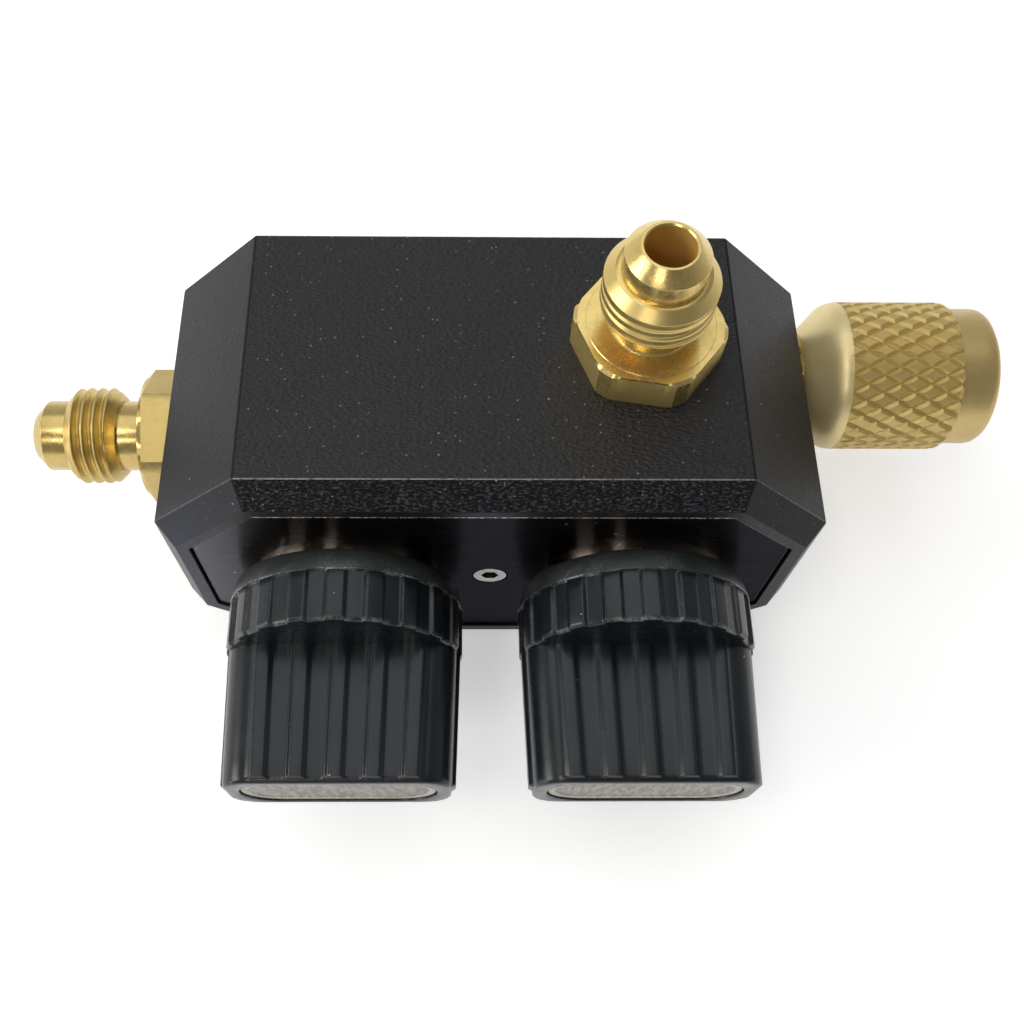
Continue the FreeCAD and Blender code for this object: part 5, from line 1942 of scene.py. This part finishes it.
@dataclass(frozen=True)
class Lamp:
    """A soft lamp that points at the part, with lengths in millimetres and its power in watts."""

    name: str
    place: tuple[float, float, float]
    size: Pair
    power: float
    color: Color
    aim: tuple[float, float, float] = (0.0, 0.0, 20.0)

    def hang(self) -> None:
        """Hang the lamp."""
        data = bpy.data.lights.new(self.name, "AREA")
        data.shape = "RECTANGLE"
        data.size, data.size_y = self.size[0] * MM, self.size[1] * MM
        data.energy = self.power
        data.color = self.color
        lamp = placed(self.name, data)
        lamp.location = Vector(self.place) * MM
        way = Vector(self.aim) * MM - lamp.location
        lamp.rotation_euler = way.to_track_quat("-Z", "Y").to_euler()
        lamp.visible_camera = False


LAMPS = (
    Lamp("window", (-950.0, -120.0, 480.0), (500.0, 420.0), 3.8, (1.0, 0.98, 0.95)),
    Lamp("card", (-900.0, -410.0, 45.0), (120.0, 90.0), 0.9, (0.97, 0.98, 1.0)),
    Lamp("overhead", (-100.0, 330.0, 950.0), (1000.0, 900.0), 3.0, (0.97, 0.98, 1.0)),
    Lamp("ceiling", (-330.0, -290.0, 1010.0), (330.0, 110.0), 1.3, (1.0, 0.97, 0.92)),
    Lamp("front", (-330.0, -730.0, 750.0), (330.0, 110.0), 1.2, (1.0, 0.97, 0.92)),
)


@dataclass
class Studio:
    """A pale floor, soft lamps, a pale room and the camera."""

    camera_place: tuple[float, float, float] = (-3.472, -62.713, 133.385)
    azimuth: float = 2.117
    tilt: float = 64.377
    roll: float = 2.013
    lens: float = 39.23
    shift: float = 0.0348
    room_color: Color = (0.98, 0.99, 1.0)
    floor_half: float = 1500.0
    floor_drop: float = 0.02
    floor_glow: float = 0.46

    def camera(self) -> None:
        """Place the camera as the photograph was taken."""
        data = bpy.data.cameras.new("camera")
        data.sensor_width = 36.0
        data.lens = self.lens
        data.shift_x = self.shift
        data.clip_start = 0.005
        camera = placed("camera", data)
        aim = turn(-self.azimuth, "Z") @ turn(90.0 - self.tilt, "X") @ turn(self.roll, "Z")
        camera.matrix_world = Matrix.Translation(Vector(self.camera_place) * MM) @ aim
        bpy.context.scene.camera = camera

    def room(self) -> None:
        """Light the part with a pale room: bright on the left, darker in front and overhead."""
        graph = Graph("room", world=True)
        x, y, z = graph.split(graph.places["Generated"])
        across = graph.ramp(x, -0.8, 0.7, 0.80, 0.56)
        ahead = graph.ramp(y, -0.7, 0.3, 0.42, 1.0)
        above = graph.ramp(z, 0.15, 0.75, 1.0, 0.42)
        level = graph.calc("MULTIPLY", graph.calc("MULTIPLY", across, ahead), above)
        back = graph.add("ShaderNodeBackground", {0: with_alpha(self.room_color), 1: level}).outputs[0]
        graph.add("ShaderNodeOutputWorld", {0: back})
        bpy.context.scene.world = graph.owner

    def floor(self) -> None:
        """Lay the pale floor, which stays nearly white and keeps the part's shadow."""
        skin = Skin()
        for half in (self.floor_half, 0.05 * self.floor_half):
            skin.ring([(-half, -half, 0), (half, -half, 0), (half, half, 0), (-half, half, 0)])
        skin.cap(skin.last)
        floor = skin.finish("floor", axis_matrix((0.0, 0.0, -self.floor_drop), UPWARD))
        graph = Graph("pale_floor")
        path = graph.add("ShaderNodeLightPath").outputs
        seen = graph.calc("MAXIMUM", path["Is Camera Ray"], path["Is Glossy Ray"])
        seen = graph.calc("MAXIMUM", seen, path["Is Transmission Ray"])
        cloud = graph.ramp(graph.noise(0.01, 2.0), 0.3, 0.7)
        color = graph.mix(cloud, (0.90, 0.90, 0.90), (0.92, 0.92, 0.92))
        diffuse = graph.add("ShaderNodeBsdfDiffuse", {"Color": color}).outputs[0]
        strength = graph.calc("MULTIPLY", seen, self.floor_glow)
        glow = graph.add("ShaderNodeEmission", {"Strength": strength}).outputs[0]
        both = graph.add("ShaderNodeAddShader", {0: diffuse, 1: glow}).outputs[0]
        graph.add("ShaderNodeOutputMaterial", {"Surface": both})
        dress(floor, graph.owner)

    def build(self) -> None:
        """Set up the camera, the room, the floor and the lamps."""
        bpy.context.scene.view_settings.view_transform = "Standard"
        self.camera()
        self.room()
        self.floor()
        for lamp in LAMPS:
            lamp.hang()


def main() -> None:
    """Build every piece in order."""
    logging.basicConfig(level=logging.INFO, format="%(message)s")
    Studio().build()
    block = ValveBlock()
    block.build()
    plastic = MouldedPlastic("knob_plastic").build()
    band = MouldedPlastic("knob_band_plastic", (0.016, 0.018, 0.018), (0.20, 0.21, 0.22), 0.40).build()
    border = PaleStrip("strip_border", (0.58, 0.54, 0.42), (0.34, 0.31, 0.23), 0.5).build()
    middle = PaleStrip("strip_field", (0.36, 0.34, 0.30), (0.13, 0.12, 0.11), 0.85).build()
    for side, x in ((Side.LEFT, -block.valve_x), (Side.RIGHT, block.valve_x)):
        Bonnet(side, x).build()
        PaddleKnob(side, x).build(plastic, band, border, middle)
    # The left fitting is the same brass as the top one, painted darker as painted shade.
    FlareFitting("left_flare_fitting_turned", block.left_port(), TO_LEFT, Axis.X, hex_turn=3.0,
                 thread_length=5.8, collar=2.7, crest=1.1, thread_depth=0.62, phase=-0.55,
                 brass=(0.60, 0.45, 0.17), stain=(0.46, 0.32, 0.10)).build()
    FlareFitting("top_flare_fitting_turned", block.top_port(), UPWARD, Axis.Z, hex_turn=-9.0,
                 thread_length=5.0, collar=2.3, crest=3.5, thread_depth=0.24, plain_end=1.3,
                 thread_round=0.12, hex_bevel=0.22, lower_bevel=0.4).build()
    SwivelNut(block.swivel_port()).build()
    InnerPieces().build()


if __name__ == "__main__":
    main()
